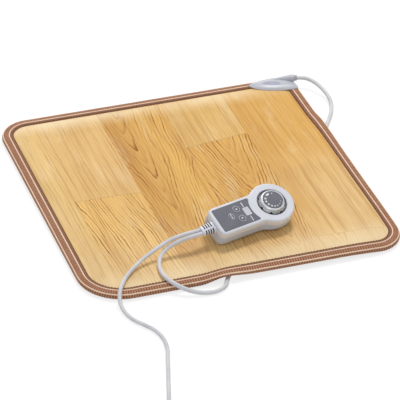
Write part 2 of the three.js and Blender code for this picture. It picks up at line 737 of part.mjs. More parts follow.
// Insets and heights of a rounded edge, from its flat to its wall.
function roundEdge(radius, steps) {
  return Array.from({ length: steps + 1 }, (_, k) => {
    const angle = Math.PI / 2 * k / steps;
    return [radius * (1 - Math.sin(angle)), radius * (1 - Math.cos(angle))];
  });
}

const POSTS = [
  [BODY_POST_X, BODY_POST_Y],
  [BODY_POST_X, -BODY_POST_Y],
  [HEAD_POST_RING * Math.cos(HEAD_POST_ANGLE), HEAD_POST_RING * Math.sin(HEAD_POST_ANGLE)],
  [HEAD_POST_RING * Math.cos(HEAD_POST_ANGLE), -HEAD_POST_RING * Math.sin(HEAD_POST_ANGLE)],
];
const SCREW_SEAT = PARTING - SCREW_GRIP;

// Stadium-shaped ring across the handset's length.
function strainRing(x, halfWidth, halfHeight) {
  const straight = halfWidth - halfHeight;
  return Array.from({ length: SMALL_FACETS }, (_, k) => {
    const angle = 2 * Math.PI * (k + 0.5) / SMALL_FACETS;
    const side = Math.sign(Math.cos(angle)) * straight;
    return new THREE.Vector3(x, side + halfHeight * Math.cos(angle), PARTING + halfHeight * Math.sin(angle));
  });
}

function strainSlot() {
  const width = STRAIN_NECK_HALF_WIDTH + GAP;
  const height = STRAIN_NECK_HALF_HEIGHT + GAP;
  return loft([
    strainRing(-BODY_LENGTH - CUT_MARGIN, width, height),
    strainRing(-BODY_LENGTH + CASE_WALL + CUT_MARGIN / 2, width, height),
  ]);
}

function strainRelief() {
  const inner = -BODY_LENGTH + CASE_WALL + GAP;
  const outer = -BODY_LENGTH - GAP;
  const flangeWidth = STRAIN_NECK_HALF_WIDTH + 2;
  const flangeHeight = STRAIN_NECK_HALF_HEIGHT + 2;
  const rings = [
    strainRing(inner + STRAIN_FLANGE, flangeWidth, flangeHeight),
    strainRing(inner, flangeWidth, flangeHeight),
    strainRing(inner, STRAIN_NECK_HALF_WIDTH, STRAIN_NECK_HALF_HEIGHT),
    strainRing(outer, STRAIN_NECK_HALF_WIDTH, STRAIN_NECK_HALF_HEIGHT),
  ];
  const collar = 3.4;
  const ribbed = STRAIN_LENGTH - GAP - collar;
  const pitch = ribbed / (STRAIN_RIBS + 0.6);
  const taper = (x, root, tip) => THREE.MathUtils.mapLinear(x, outer, -STRAIN_TIP, root, tip);
  const widthAt = (x) => taper(x, STRAIN_ROOT_HALF_WIDTH, STRAIN_TIP_HALF_WIDTH);
  const heightAt = (x) => taper(x, STRAIN_ROOT_HALF_HEIGHT, STRAIN_TIP_HALF_HEIGHT);
  const full = (x) => rings.push(strainRing(x, widthAt(x), heightAt(x)));
  const groove = (x) => rings.push(strainRing(x, widthAt(x) - 1.3, heightAt(x) - 1.3));
  full(outer);
  for (let rib = 0; rib < STRAIN_RIBS; rib += 1) {
    const start = outer - collar - rib * pitch;
    full(start);
    groove(start - 0.1);
    groove(start - 0.45 * pitch);
    full(start - 0.45 * pitch - 0.1);
  }
  full(-STRAIN_TIP);
  return loft(rings);
}

function lowerCase() {
  const edge = roundEdge(BELLY_EDGE, BELLY_EDGE_STEPS);
  const shell = loft([
    bellyRing(BODY_HALF_WIDTH - 3, 0), bellyRing(BODY_HALF_WIDTH - 10, 0),
    ...edge.map(([inset, lift]) => bellyRing(inset, lift)),
    levelRing(0, PARTING), levelRing(CASE_WALL, PARTING),
    bellyRing(CASE_WALL, CASE_WALL + 3), bellyRing(CASE_WALL + 3, CASE_WALL),
    bellyRing(BODY_HALF_WIDTH - 3, CASE_WALL),
  ]);
  const posts = POSTS.map(([x, y]) => {
    const foot = belly(Math.abs(y) + POST_RADIUS) + CASE_WALL / 2;
    return post(POST_RADIUS, foot, PARTING, x, y);
  });
  const restFoot = belly(BOARD_REST_WIDTH / 2) + CASE_WALL / 2;
  const rests = [BOARD_REST_INSET - BODY_LENGTH, BOARD_REST_X].map((x) => (
    box(BOARD_REST_THICKNESS, BOARD_REST_WIDTH, restFoot, BOARD_LOW - GAP, x)
  ));
  const holes = screwHoles(POSTS, SCREW_RADIUS + GAP, 0, PARTING + 1);
  const sinks = screwHoles(POSTS, SCREW_HEAD_RADIUS + GAP, -1, SCREW_SEAT - GAP);
  return shaped(shell, [...posts, ...rests], [...holes, ...sinks, strainSlot()]);
}

// Panel plan with its right edge drawn round the dial.
function panelShape(grow) {
  const left = -PANEL_LEFT - grow;
  const half = PANEL_HALF_WIDTH + grow;
  const arc = PANEL_ARC - grow;
  const bend = PANEL_CORNER + grow;
  const swing = Math.asin((half - bend) / arc);
  const shape = new THREE.Shape();
  shape.moveTo(left + bend, -half);
  shape.lineTo(-arc * Math.cos(swing) - bend, -half);
  shape.quadraticCurveTo(-arc * Math.cos(swing), -half, -arc * Math.cos(swing), -half + bend);
  shape.absarc(0, 0, arc, Math.PI + swing, Math.PI - swing, true);
  shape.quadraticCurveTo(-arc * Math.cos(swing), half, -arc * Math.cos(swing) - bend, half);
  shape.lineTo(left + bend, half);
  shape.quadraticCurveTo(left, half, left, half - bend);
  shape.lineTo(left, -half + bend);
  shape.quadraticCurveTo(left, -half, left + bend, -half);
  return shape;
}

const KEYS = [
  { name: 'key_up', x: KEY_X, y: KEY_SPREAD, ratio: 1 },
  { name: 'key_down', x: KEY_X, y: -KEY_SPREAD, ratio: 1 },
  { name: 'key_power', x: POWER_KEY_X, y: 0, ratio: POWER_KEY_RATIO },
];

function keyHole({ x, y, ratio }) {
  const hole = post(KEY_RADIUS + GAP, CEILING - CUT_MARGIN, PANEL_TOP + CUT_MARGIN, 0, 0, KEY_FACETS);
  return hole.scale(ratio, 1, 1).translate(x, y, 0);
}

function keyCap({ x, y, ratio }) {
  const top = PANEL_TOP + KEY_PROUD;
  const lip = CEILING - GAP;
  const foot = SWITCH_TOP + KEY_TRAVEL + GAP;
  const skirt = KEY_RADIUS + KEY_LIP;
  const profile = [[0, foot], [2, foot], [2, lip - 1], [skirt, lip - 1], [skirt, lip], [KEY_RADIUS, lip],
    [KEY_RADIUS, top - 0.5], [KEY_RADIUS - 0.5, top - 0.1], [0, top]];
  return turned(profile, KEY_FACETS).scale(ratio, 1, 1).translate(x, y, 0);
}

function keySwitch({ x, y }) {
  const low = BOARD_TOP + GAP;
  const body = box(SWITCH_SIDE, SWITCH_SIDE, low, low + SWITCH_HEIGHT, x, y);
  return shaped(body, [post(PLUNGER_RADIUS, low + 1, SWITCH_TOP, x, y, PIN_FACETS)], []);
}

function windowHole() {
  const hole = roundedBar(WINDOW_LENGTH + 2 * GAP, WINDOW_WIDTH + 2 * GAP, 1 + GAP);
  return plate(hole, CEILING - CUT_MARGIN, PANEL_TOP + CUT_MARGIN, 2).translate(WINDOW_X, 0, 0);
}

function upperCase() {
  const top = HANDSET_THICKNESS;
  const edge = roundEdge(TOP_EDGE, TOP_EDGE_STEPS).map(([inset, drop]) => levelRing(inset, top - drop));
  const low = PARTING + GAP;
  const shell = loft([...edge, levelRing(0, low), levelRing(CASE_WALL, low), levelRing(CASE_WALL, CEILING)]);
  const well = post(WELL_RADIUS + CASE_WALL, WELL_FLOOR - CASE_WALL, CEILING + 1, 0, 0, ROUND_FACETS);
  const posts = POSTS.map(([x, y]) => post(POST_RADIUS - 0.4, low, CEILING + 1, x, y));
  const bowl = turned([[0, WELL_FLOOR], [WELL_RADIUS - 0.8, WELL_FLOOR], [WELL_RADIUS, WELL_FLOOR + 0.8],
    [WELL_RADIUS, top - 0.9], [WELL_RADIUS + 0.9, top], [WELL_RADIUS + 0.9, top + 1],
    [0, top + 1]], ROUND_FACETS);
  const shaftHole = post(SHAFT_RADIUS + 1, BOARD_TOP, top);
  const pocket = plate(panelShape(GAP), top - PANEL_POCKET, top + 1, 4);
  const pilots = screwHoles(POSTS, SCREW_RADIUS + GAP, low - 1, PARTING + 6);
  const openings = [windowHole(), ...KEYS.map(keyHole)];
  return shaped(shell, [well, ...posts], [bowl, shaftHole, pocket, ...pilots, ...openings, strainSlot()]);
}

function panelOverlay() {
  const sheet = plate(panelShape(0), PANEL_TOP - PANEL_THICKNESS, PANEL_TOP, 4);
  return shaped(sheet, [], [windowHole(), ...KEYS.map(keyHole)]);
}

function displayWindow() {
  const pane = roundedBar(WINDOW_LENGTH, WINDOW_WIDTH, 1);
  return plate(pane, CEILING, PANEL_TOP, 2).translate(WINDOW_X, 0, 0);
}

function displayModule() {
  const low = BOARD_TOP + GAP;
  const top = CEILING - GAP;
  const body = box(WINDOW_LENGTH + 2, WINDOW_WIDTH + 3, low, top - 1.2, WINDOW_X);
  return shaped(body, [box(WINDOW_LENGTH + 0.6, WINDOW_WIDTH + 1, top - 2, top, WINDOW_X)], []);
}

function circuitBoard() {
  const outline = handsetOutline(BOARD_INSET);
  const board = plate(new THREE.Shape(outline), BOARD_LOW, BOARD_TOP);
  const holes = screwHoles(POSTS, POST_RADIUS + 2 * GAP, BOARD_LOW - 1, BOARD_TOP + 1);
  return shaped(board, [], holes);
}

function caseScrew([x, y]) {
  const head = SCREW_SEAT - 2 * GAP;
  const tip = PARTING + 5;
  const profile = [[0, head - SCREW_HEAD_HEIGHT], [SCREW_HEAD_RADIUS, head - SCREW_HEAD_HEIGHT + 0.4],
    [SCREW_HEAD_RADIUS, head], [SCREW_RADIUS, head], [SCREW_RADIUS, tip - 1.2], [0, tip]];
  return turned(profile, PIN_FACETS).translate(x, y, 0);
}

// Dial knob: a flared skirt with grip notches, hollow below, with a seat for the cap.
function dialKnob() {
  const low = WELL_FLOOR + 0.6;
  const top = HANDSET_THICKNESS + DIAL_PROUD;
  const seat = top - CAP_THICKNESS;
  const bore = SHAFT_RADIUS + GAP;
  const hub = SHAFT_RADIUS + 3.2;
  const roof = seat - 2;
  const seatRadius = CAP_RADIUS + GAP;
  const below = [[bore, low], [hub, low], [hub, roof], [DIAL_TOP_RADIUS - 2.6, roof],
    [DIAL_RADIUS - 2.2, low]];
  const outside = [[DIAL_RADIUS, low], [DIAL_RADIUS, low + 2], [DIAL_TOP_RADIUS + 0.9, top - 1.6],
    [DIAL_TOP_RADIUS + 0.4, top - 0.4], [DIAL_TOP_RADIUS - 0.3, top]];
  const seatWall = [[seatRadius + 0.3, top], [seatRadius, top - 0.3], [seatRadius, seat], [bore, seat]];
  const profile = [...below, ...outside, ...seatWall, [bore, low]];
  const notches = Array.from({ length: DIAL_NOTCHES }, (_, k) => {
    const angle = 2 * Math.PI * (k + 0.5) / DIAL_NOTCHES + NOTCH_TURN;
    const reach = DIAL_RADIUS + 0.5 * NOTCH_RADIUS;
    const cutter = post(NOTCH_RADIUS, low - 1, top - 1.2, 0, 0, PIN_FACETS);
    return cutter.translate(reach * Math.cos(angle), reach * Math.sin(angle), 0);
  });
  return shaped(turned(profile, ROUND_FACETS), [], notches);
}

function dialCap() {
  const top = HANDSET_THICKNESS + DIAL_PROUD;
  const low = top - CAP_THICKNESS + GAP;
  const profile = [[0, low], [CAP_RADIUS, low], [CAP_RADIUS, top - 0.2], [CAP_RADIUS - 0.7, top + 0.15],
    [0, top + 0.4]];
  return turned(profile, ROUND_FACETS);
}

const POT_TOP = WELL_FLOOR - CASE_WALL - GAP;

function potentiometer() {
  const low = BOARD_TOP + GAP;
  const can = post(POT_RADIUS, low, POT_TOP - 1.4);
  const bush = post(SHAFT_RADIUS + 1.6, POT_TOP - 2.2, POT_TOP);
  const tab = box(10, 9, low, low + 1.4, -POT_RADIUS);
  const shaftRoom = post(SHAFT_RADIUS + GAP, POT_TOP - 1, POT_TOP + 1);
  return shaped(can, [bush, tab], [shaftRoom]);
}

function dialShaft() {
  const top = HANDSET_THICKNESS + DIAL_PROUD - CAP_THICKNESS;
  const shaft = post(SHAFT_RADIUS, POT_TOP - 1 + GAP, top);
  const flat = box(4 * SHAFT_RADIUS, SHAFT_RADIUS, WELL_FLOOR + 1, top + 1, 0, 1.25 * SHAFT_RADIUS);
  return shaped(shaft, [], [flat]);
}

function relay() {
  const top = WELL_FLOOR - CASE_WALL - 2 * GAP;
  return plate(roundedBar(15, 12, 0.8), BOARD_TOP + GAP, top, 2).translate(-19, -12, 0);
}

function capacitor() {
  const top = WELL_FLOOR - CASE_WALL - 1;
  return plate(roundedBar(13, 6, 1.5), BOARD_TOP + GAP, top, 2).translate(-22, 13, 0);
}

function terminalBlock() {
  const low = BOARD_TOP + GAP;
  const top = low + TERMINAL_HEIGHT;
  const body = box(TERMINAL_LENGTH, TERMINAL_WAYS * TERMINAL_PITCH, low, top, TERMINAL_X);
  const wells = Array.from({ length: TERMINAL_WAYS }, (_, k) => {
    const y = (k - (TERMINAL_WAYS - 1) / 2) * TERMINAL_PITCH;
    return post(TERMINAL_WELL_RADIUS, top - 3, top + 1, TERMINAL_X, y, PIN_FACETS);
  });
  return shaped(body, [], wells);
}

// Coil of the stored mains lead, its tie and the plug.
const COIL_LOW = TIE_THICKNESS + 1.5 * GAP;
const COIL_HALF = COIL_COLUMNS * MAINS_RADIUS;
const COIL_HEIGHT = COIL_LAYERS * 2 * MAINS_RADIUS;

function mainsCoil() {
  const [inner, outer] = [COIL_MEAN_RADIUS - COIL_HALF, COIL_MEAN_RADIUS + COIL_HALF];
  const [low, high] = [COIL_LOW, COIL_LOW + COIL_HEIGHT];
  const bend = MAINS_RADIUS / 2;
  const profile = [[inner + bend, low], [outer - bend, low], [outer, low + bend], [outer, high - bend],
    [outer - bend, high], [inner + bend, high], [inner, high - bend], [inner, low + bend],
    [inner + bend, low]];
  return turned(profile, ROUND_FACETS).translate(COIL_X, COIL_Y, 0);
}

function cordTie() {
  const half = COIL_HALF + TIE_SLACK;
  const high = COIL_LOW + COIL_HEIGHT + GAP;
  const low = COIL_LOW - GAP;
  const ring = (grow) => [
    [-half - grow, low - grow], [half + grow, low - grow],
    [half + grow, high + grow], [-half - grow, high + grow],
  ].map(([across, height]) => new THREE.Vector2(across, height));
  const shape = new THREE.Shape(ring(TIE_THICKNESS));
  shape.holes.push(new THREE.Path(ring(0).reverse()));
  const strap = plate(shape, -TIE_WIDTH / 2, TIE_WIDTH / 2).rotateX(Math.PI / 2);
  return strap.translate(COIL_X + COIL_MEAN_RADIUS, COIL_Y, 0);
}

// Flat two-pin plug lying on the floor, its pins towards +X.
const PLUG_FACE = PLUG_X + PLUG_GLAND_LENGTH + PLUG_BODY_LENGTH;
const PIN_PLACES = [PLUG_Y - PIN_SPACING / 2, PLUG_Y + PIN_SPACING / 2];

function plugRing(x, halfWidth, halfHeight) {
  const bend = Math.min(halfHeight, halfWidth) * 0.6;
  const section = roundedBar(2 * halfWidth, 2 * halfHeight, bend).getPoints(2);
  const outline = section.filter((point, i) => i === 0 || point.distanceTo(section[i - 1]) > 1e-6);
  if (outline[0].distanceTo(outline.at(-1)) < 1e-6) {
    outline.pop();
  }
  return outline.map((point) => new THREE.Vector3(PLUG_X + x, PLUG_Y + point.x, PLUG_MIDDLE + point.y));
}

function plugBody() {
  const [gland, end] = [PLUG_GLAND_LENGTH, PLUG_GLAND_LENGTH + PLUG_BODY_LENGTH];
  const half = PLUG_THICKNESS / 2;
  const wide = PLUG_WIDTH / 2;
  const slim = MAINS_RADIUS + 1.1;
  const neck = [plugRing(0, slim, slim), plugRing(gland * 0.3, slim + 0.4, slim + 0.3),
    plugRing(gland * 0.85, slim + 1.4, slim + 0.9)];
  const grip = [plugRing(gland, wide * 0.62, half * 0.86), plugRing(gland + 4, wide * 0.76, half),
    plugRing(gland + 13, wide * 0.8, half)];
  const front = [plugRing(gland + 18, wide, half), plugRing(end - 0.8, wide, half),
    plugRing(end, wide - 0.8, half - 0.8)];
  const sockets = PIN_PLACES.map((y) => {
    const hole = post(PIN_RADIUS + GAP, -PIN_ROOT - GAP, CUT_MARGIN, 0, 0, PIN_FACETS);
    return hole.rotateY(Math.PI / 2).translate(PLUG_FACE, y, PLUG_MIDDLE);
  });
  return shaped(loft([...neck, ...grip, ...front]), [], sockets);
}

function plugPin(y) {
  const profile = [[0, -PIN_ROOT], [PIN_RADIUS, -PIN_ROOT], [PIN_RADIUS, PIN_LENGTH - 1.5],
    [PIN_RADIUS * 0.6, PIN_LENGTH], [0, PIN_LENGTH]];
  return turned(profile, PIN_FACETS).rotateY(Math.PI / 2).translate(PLUG_FACE, y, PLUG_MIDDLE);
}

// Assembly
const heatingPad = new THREE.Group();

function assemblePad(group) {
  const holes = screwRoom();
  const topCover = padLayer(coverSteps(EDGE_MIDDLE + GAP, SEWN_TOP - COVER, COVER_LOW));
  const bottomCover = padLayer(coverSteps(EDGE_MIDDLE - GAP - COVER, SEWN_LOW, 0));
  place(group, 'top_cover', shaped(topCover, [], holes), VINYL);
  place(group, 'heating_cord', heaterCord(), HEATER_CORD);
  place(group, 'felt_core', padLayer(innerSteps(FELT_LOW, FELT_LOW + FELT)), FELT_GREY);
  place(group, 'bottom_cover', shaped(bottomCover, [], holes), BACKING);
  place(group, 'edge_binding', shaped(bindingTape(), [], [plateRoom(), ...holes]), BROWN_TAPE);
}

function assembleHousing(group) {
  place(group, 'housing_upper', housingUpper(), PALE_PLASTIC);
  place(group, 'housing_lower', housingLower(), PALE_PLASTIC);
  HOUSING_SCREWS.forEach((spot, i) => place(group, `housing_screw_${i + 1}`, housingScrew(spot), STEEL));
  const [x, y] = DISH_PLACE;
  const floor = PAD_TOP + GAP;
  const cup = [[0, floor], [THERMOSTAT_RADIUS, floor], [THERMOSTAT_RADIUS, floor + THERMOSTAT_HEIGHT - 1.2],
    [THERMOSTAT_RADIUS - 1.2, floor + THERMOSTAT_HEIGHT], [0, floor + THERMOSTAT_HEIGHT]];
  place(group, 'thermostat', turned(cup).translate(x, y, 0), STEEL);
  const fuse = new THREE.CapsuleGeometry(FUSE_RADIUS, FUSE_LENGTH - 2 * FUSE_RADIUS, 2, PIN_FACETS);
  fuse.translate(x + THERMOSTAT_RADIUS + 2 * FUSE_RADIUS, y, floor + FUSE_RADIUS);
  place(group, 'thermal_fuse', fuse, PALE_PLASTIC);
  const boot = place(group, 'housing_sleeve', sleeve(), PALE_PLASTIC);
  boot.position.copy(OUTLET_FACE).addScaledVector(OUTLET_WAY, -SLEEVE_ROOT - GAP);
  boot.quaternion.setFromUnitVectors(new THREE.Vector3(0, 0, 1), OUTLET_WAY);
}

function assembleHandset(group) {
  place(group, 'upper_case', upperCase(), CASE_PLASTIC);
  place(group, 'lower_case', lowerCase(), CASE_PLASTIC);
  place(group, 'panel_overlay', panelOverlay(), PANEL_GREY);
  place(group, 'display_window', displayWindow(), WINDOW_GREY);
  place(group, 'display_module', displayModule(), DARK_PLASTIC);
  KEYS.forEach((key) => place(group, key.name, keyCap(key), KEY_GREY));
  KEYS.forEach((key) => place(group, `${key.name}_switch`, keySwitch(key), DARK_PLASTIC));
  place(group, 'dial_knob', dialKnob(), SILVER);
  place(group, 'dial_cap', dialCap(), PANEL_GREY);
  place(group, 'dial_shaft', dialShaft(), STEEL);
  place(group, 'potentiometer', potentiometer(), STEEL);
  place(group, 'circuit_board', circuitBoard(), BOARD_GREEN);
  place(group, 'relay', relay(), DARK_PLASTIC);
  place(group, 'capacitor', capacitor(), SILVER);
  place(group, 'terminal_block', terminalBlock(), PALE_PLASTIC);
  place(group, 'strain_relief', strainRelief(), CASE_PLASTIC);
  POSTS.forEach((spot, i) => place(group, `case_screw_${i + 1}`, caseScrew(spot), STEEL));
}

function assembleLeads(group, handset) {
  handset.updateMatrixWorld(true);
  const leadStart = (offset) => [STRAIN_TIP + GAP, STRAIN_TIP + GAP + 4].map((back) => (
    handset.localToWorld(new THREE.Vector3(-back, offset, PARTING))
  ));
  const sleeveTip = [SLEEVE_LENGTH + GAP, SLEEVE_LENGTH + GAP + 4].map((ahead) => (
    OUTLET_FACE.clone().addScaledVector(OUTLET_WAY, ahead)
  ));
  const padLead = [
    ...sleeveTip,
    ...vectors([...PAD_LEAD_BACK, ...PAD_LEAD_HIDDEN, ...PAD_LEAD_FRONT]),
    ...leadStart(PAD_LEAD_OFFSET).reverse(),
  ];
  const mains = [...leadStart(MAINS_OFFSET), ...vectors(MAINS_ROUTE)];
  place(group, 'pad_lead', tube(padLead, PAD_LEAD_RADIUS, PAD_LEAD_STEPS), LEAD_GREY);
  place(group, 'mains_lead', tube(mains, MAINS_RADIUS, MAINS_STEPS), LEAD_GREY);
  place(group, 'mains_coil', mainsCoil(), LEAD_GREY);
  place(group, 'mains_tail', tube(vectors(MAINS_TAIL), MAINS_RADIUS, TAIL_STEPS), LEAD_GREY);
  place(group, 'cord_tie', cordTie(), DARK_PLASTIC);
  place(group, 'plug_body', plugBody(), LEAD_GREY);
  PIN_PLACES.forEach((y, i) => place(group, `plug_pin_${i + 1}`, plugPin(y), STEEL));
}

const padGroup = new THREE.Group();
assemblePad(padGroup);
const housingGroup = new THREE.Group();
assembleHousing(housingGroup);
const handsetGroup = new THREE.Group();
handsetGroup.rotation.set(HANDSET_ROLL, 0, HANDSET_HEADING, 'ZYX');
const bellyLift = BELLY_RADIUS * (1 - Math.cos(HANDSET_ROLL));
handsetGroup.position.set(HANDSET_X, HANDSET_Y, PAD_TOP + GAP + bellyLift);
assembleHandset(handsetGroup);
const leadGroup = new THREE.Group();
assembleLeads(leadGroup, handsetGroup);
heatingPad.add(padGroup, housingGroup, handsetGroup, leadGroup);

export default heatingPad;
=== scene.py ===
"""Heated seat pad with a wired hand controller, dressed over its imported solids.

Metres, +Z up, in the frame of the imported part: the origin lies under the middle of the pad.
"""

import logging
import math
from collections.abc import Callable, Sequence
from dataclasses import dataclass
from enum import Enum
from functools import partial

import bmesh
import bpy
import numpy as np
from mathutils import Matrix, Vector


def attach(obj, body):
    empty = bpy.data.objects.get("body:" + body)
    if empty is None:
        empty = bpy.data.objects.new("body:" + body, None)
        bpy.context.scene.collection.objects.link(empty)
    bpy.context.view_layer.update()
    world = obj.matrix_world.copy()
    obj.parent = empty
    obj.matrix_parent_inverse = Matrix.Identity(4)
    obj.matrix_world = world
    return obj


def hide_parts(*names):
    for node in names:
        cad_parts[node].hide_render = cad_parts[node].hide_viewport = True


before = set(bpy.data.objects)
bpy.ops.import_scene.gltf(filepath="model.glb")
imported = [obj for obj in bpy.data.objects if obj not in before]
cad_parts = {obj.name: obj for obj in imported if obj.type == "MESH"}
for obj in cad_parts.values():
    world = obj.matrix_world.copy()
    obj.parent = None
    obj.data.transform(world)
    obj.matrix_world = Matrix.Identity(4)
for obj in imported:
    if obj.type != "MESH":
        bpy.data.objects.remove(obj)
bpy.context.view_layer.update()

MM = 0.001
QUARTER = math.pi / 2
WELD = 2e-6
FLAT_DEGREES = 0.6
SHARP_DEGREES = 38.0
LOG = logging.getLogger("heated_pad")

Colour = tuple[int, int, int]
Pair = tuple[float, float]
Triple = tuple[float, float, float]
Range = tuple[float, float, float, float]
Piece = bpy.types.Object
Mesh = bpy.types.Mesh
Material = bpy.types.Material
Socket = bpy.types.NodeSocket


class Body(Enum):
    """Bodies that the pieces ride on."""

    PAD = "pad"
    DIAL = "dial"
    UP_KEY = "up_key"
    DOWN_KEY = "down_key"
    POWER_KEY = "power_key"


class Slot(Enum):
    """Material slots of the record."""

    VINYL = "printed_vinyl"
    SILICONE = "silicone_cord"
    FELT = "felt"
    BACKING = "backing_cloth"
    TAPE = "binding_tape"
    PALE = "pale_plastic"
    CASE = "case_plastic"
    FILM = "panel_film"
    WINDOW = "window_plastic"
    KEY = "key_plastic"
    SILVER = "silver_plastic"
    DARK = "dark_plastic"
    BOARD = "board"
    STEEL = "steel"
    SHEATH = "lead_sheath"
    PIN = "pin_metal"


# Node trees


def tint(colour: Colour) -> tuple[float, ...]:
    """Turns a screen colour into a linear one.

    Args:
        colour: Red, green and blue from 0 to 255.

    Returns:
        Linear red, green, blue and an alpha of 1.
    """
    linear = []
    for value in colour:
        share = value / 255
        linear.append(share / 12.92 if share <= 0.04045 else ((share + 0.055) / 1.055) ** 2.4)
    return (*linear, 1.0)


class Tree:
    """Node tree while it is being built."""

    def __init__(self, tree: bpy.types.NodeTree) -> None:
        """Keeps the tree."""
        self.tree = tree

    def node(self, kind: str, inputs: dict | None = None, **settings: object) -> bpy.types.Node:
        """Adds a node.

        Args:
            kind: Type name of the node.
            inputs: Outputs or constants, by the input's name or number.
            settings: Properties of the node.

        Returns:
            The node.
        """
        node = self.tree.nodes.new(kind)
        for key, value in settings.items():
            setattr(node, key, value)
        for key, value in (inputs or {}).items():
            self.feed(node.inputs[key], value)
        return node

    def make(self, kind: str, inputs: dict | None = None, **settings: object) -> Socket:
        """First output of a new node."""
        return self.node(kind, inputs, **settings).outputs[0]

    def feed(self, socket: Socket, value: object) -> None:
        """Links an input to an output, or sets its constant.

        Args:
            socket: The input.
            value: Output, number of the tree, or constant.
        """
        source = value.socket if isinstance(value, Number) else value
        if isinstance(source, Socket):
            self.tree.links.new(source, socket)
        else:
            socket.default_value = source


class Number:
    """Number in a shader tree, whose arithmetic adds math nodes."""

    def __init__(self, paint: "Paint", socket: Socket) -> None:
        """Keeps the tree and the output that holds the number."""
        self.paint = paint
        self.socket = socket

    def __add__(self, other: object) -> "Number":
        """Sum."""
        return self.paint.math("ADD", self, other)

    def __sub__(self, other: object) -> "Number":
        """Difference."""
        return self.paint.math("SUBTRACT", self, other)

    def __mul__(self, other: object) -> "Number":
        """Product."""
        return self.paint.math("MULTIPLY", self, other)

    def __truediv__(self, other: object) -> "Number":
        """Quotient."""
        return self.paint.math("DIVIDE", self, other)


class Paint(Tree):
    """Shader tree of one finish."""

    tooth_range: Pair = (0.3, 0.7)

    def __init__(self, name: str) -> None:
        """Starts a material with one principled shader.

        Args:
            name: Name of the material.
        """
        self.material = bpy.data.materials.new(name)
        self.material.use_nodes = True
        super().__init__(self.material.node_tree)
        self.shader = self.tree.nodes["Principled BSDF"]
        coordinates = self.tree.nodes.new("ShaderNodeTexCoord")
        self.place = coordinates.outputs["Object"]
        self.unwrapped = coordinates.outputs["UV"]

    def math(self, operation: str, *values: object) -> Number:
        """Result of a math node."""
        return Number(self, self.make("ShaderNodeMath", dict(enumerate(values)), operation=operation))

    def split(self, vector: Socket) -> list[Number]:
        """X, Y and Z of a vector."""
        return [Number(self, part) for part in self.node("ShaderNodeSeparateXYZ", {0: vector}).outputs]

    def noise(self, vector: Socket, scale: float, detail: float = 2.0, rough: float = 0.5) -> Number:
        """Noise near 0.5 with this many features in one unit."""
        inputs = {"Vector": vector, "Scale": scale, "Detail": detail, "Roughness": rough}
        return Number(self, self.make("ShaderNodeTexNoise", inputs))

    def figure(self, x: object, y: object, z: object, detail: float = 2.0, rough: float = 0.5) -> Number:
        """Noise at a place that is given by three scaled numbers."""
        return self.noise(self.make("ShaderNodeCombineXYZ", {0: x, 1: y, 2: z}), 1.0, detail, rough)

    def step(self, value: object, low: float, high: float, start: float = 0.0,
             end: float = 1.0) -> Number:
        """Smooth change from start at low to end at high."""
        inputs = dict(enumerate((value, low, high, start, end)))
        return Number(self, self.make("ShaderNodeMapRange", inputs, interpolation_type="SMOOTHSTEP"))

    def mix(self, share: object, first: object, second: object) -> Socket:
        """Mix of two colours."""
        return self.node("ShaderNodeMix", {0: share, 6: first, 7: second}, data_type="RGBA").outputs[2]

    def choose(self, position: Number, colours: Sequence[Sequence[float]]) -> Socket:
        """Picks one of several colours.

        Args:
            position: From 0 to 1 over the list.
            colours: The colours in order.

        Returns:
            The picked colour.
        """
        node = self.node("ShaderNodeValToRGB", {0: position})
        ramp = node.color_ramp
        ramp.interpolation = "CONSTANT"
        for index, colour in enumerate(colours):
            at = index / len(colours)
            stop = ramp.elements[0] if index == 0 else ramp.elements.new(at)
            stop.position = at
            stop.color = colour
        ramp.elements.remove(ramp.elements[-1])
        return node.outputs[0]

    def cover(self, colour: Socket, tooth: Number, rough: Pair, relief: Number | None = None,
              depth: float = 0.0, **values: float) -> Material:
        """Ends the tree.

        Args:
            colour: Colour of the surface.
            tooth: Fine noise that its roughness follows.
            rough: Roughness where the tooth is low and high.
            relief: Fine relief.
            depth: Height of a full step of it.
            values: Constants of the shader by name, with an underscore for a space.

        Returns:
            The material.
        """
        values |= {"Base_Color": colour, "Roughness": self.step(tooth, *self.tooth_range, *rough)}
        if relief:
            inputs = {"Strength": 1.0, "Distance": depth, "Height": relief}
            values["Normal"] = self.make("ShaderNodeBump", inputs)
        for name, value in values.items():
            self.feed(self.shader.inputs[name.replace("_", " ")], value)
        return self.material


# Finishes


@dataclass(frozen=True)
class Moulded:
    """Moulded plastic: a ground tone with faint clouds under a fine spark texture.

    The clouds have a scale and detail, the tooth a scale, detail and strength. The blend is the
    tooth's share in the tone, and the band is where the tone turns from ground to cloud.
    """

    name: str
    ground: Colour
    cloud: Colour
    rough: Pair = (0.31, 0.43)
    tooth: Triple = (900.0, 2.0, 0.6)
    clouds: Pair = (28.0, 3.0)
    blend: float = 0.0
    band: Pair = (0.38, 0.72)
    stretch: Triple = (1.0, 1.0, 1.0)
    depth: float = 0.03 * MM
    specular: float = 0.42
    metallic: float = 0.0
    sheen: float = 0.0

    def marked(self, paint: Paint, colour: Socket) -> Socket:
        """Colour with what the finish paints over its tones, such as painted shade: plain plastic has
        none.
        """
        return colour

    def material(self) -> Material:
        """Builds the material.

        Returns:
            The material.
        """
        paint = Paint(self.name)
        place = paint.make("ShaderNodeMapping", {"Vector": paint.place, "Scale": self.stretch})
        tooth = paint.noise(place, *self.tooth)
        tone = tooth * self.blend + paint.noise(paint.place, *self.clouds) * (1 - self.blend)
        colour = paint.mix(paint.step(tone, *self.band), tint(self.ground), tint(self.cloud))
        return paint.cover(self.marked(paint, colour), tooth, self.rough, tooth, self.depth,
                           Specular_IOR_Level=self.specular, Metallic=self.metallic,
                           Sheen_Weight=self.sheen)


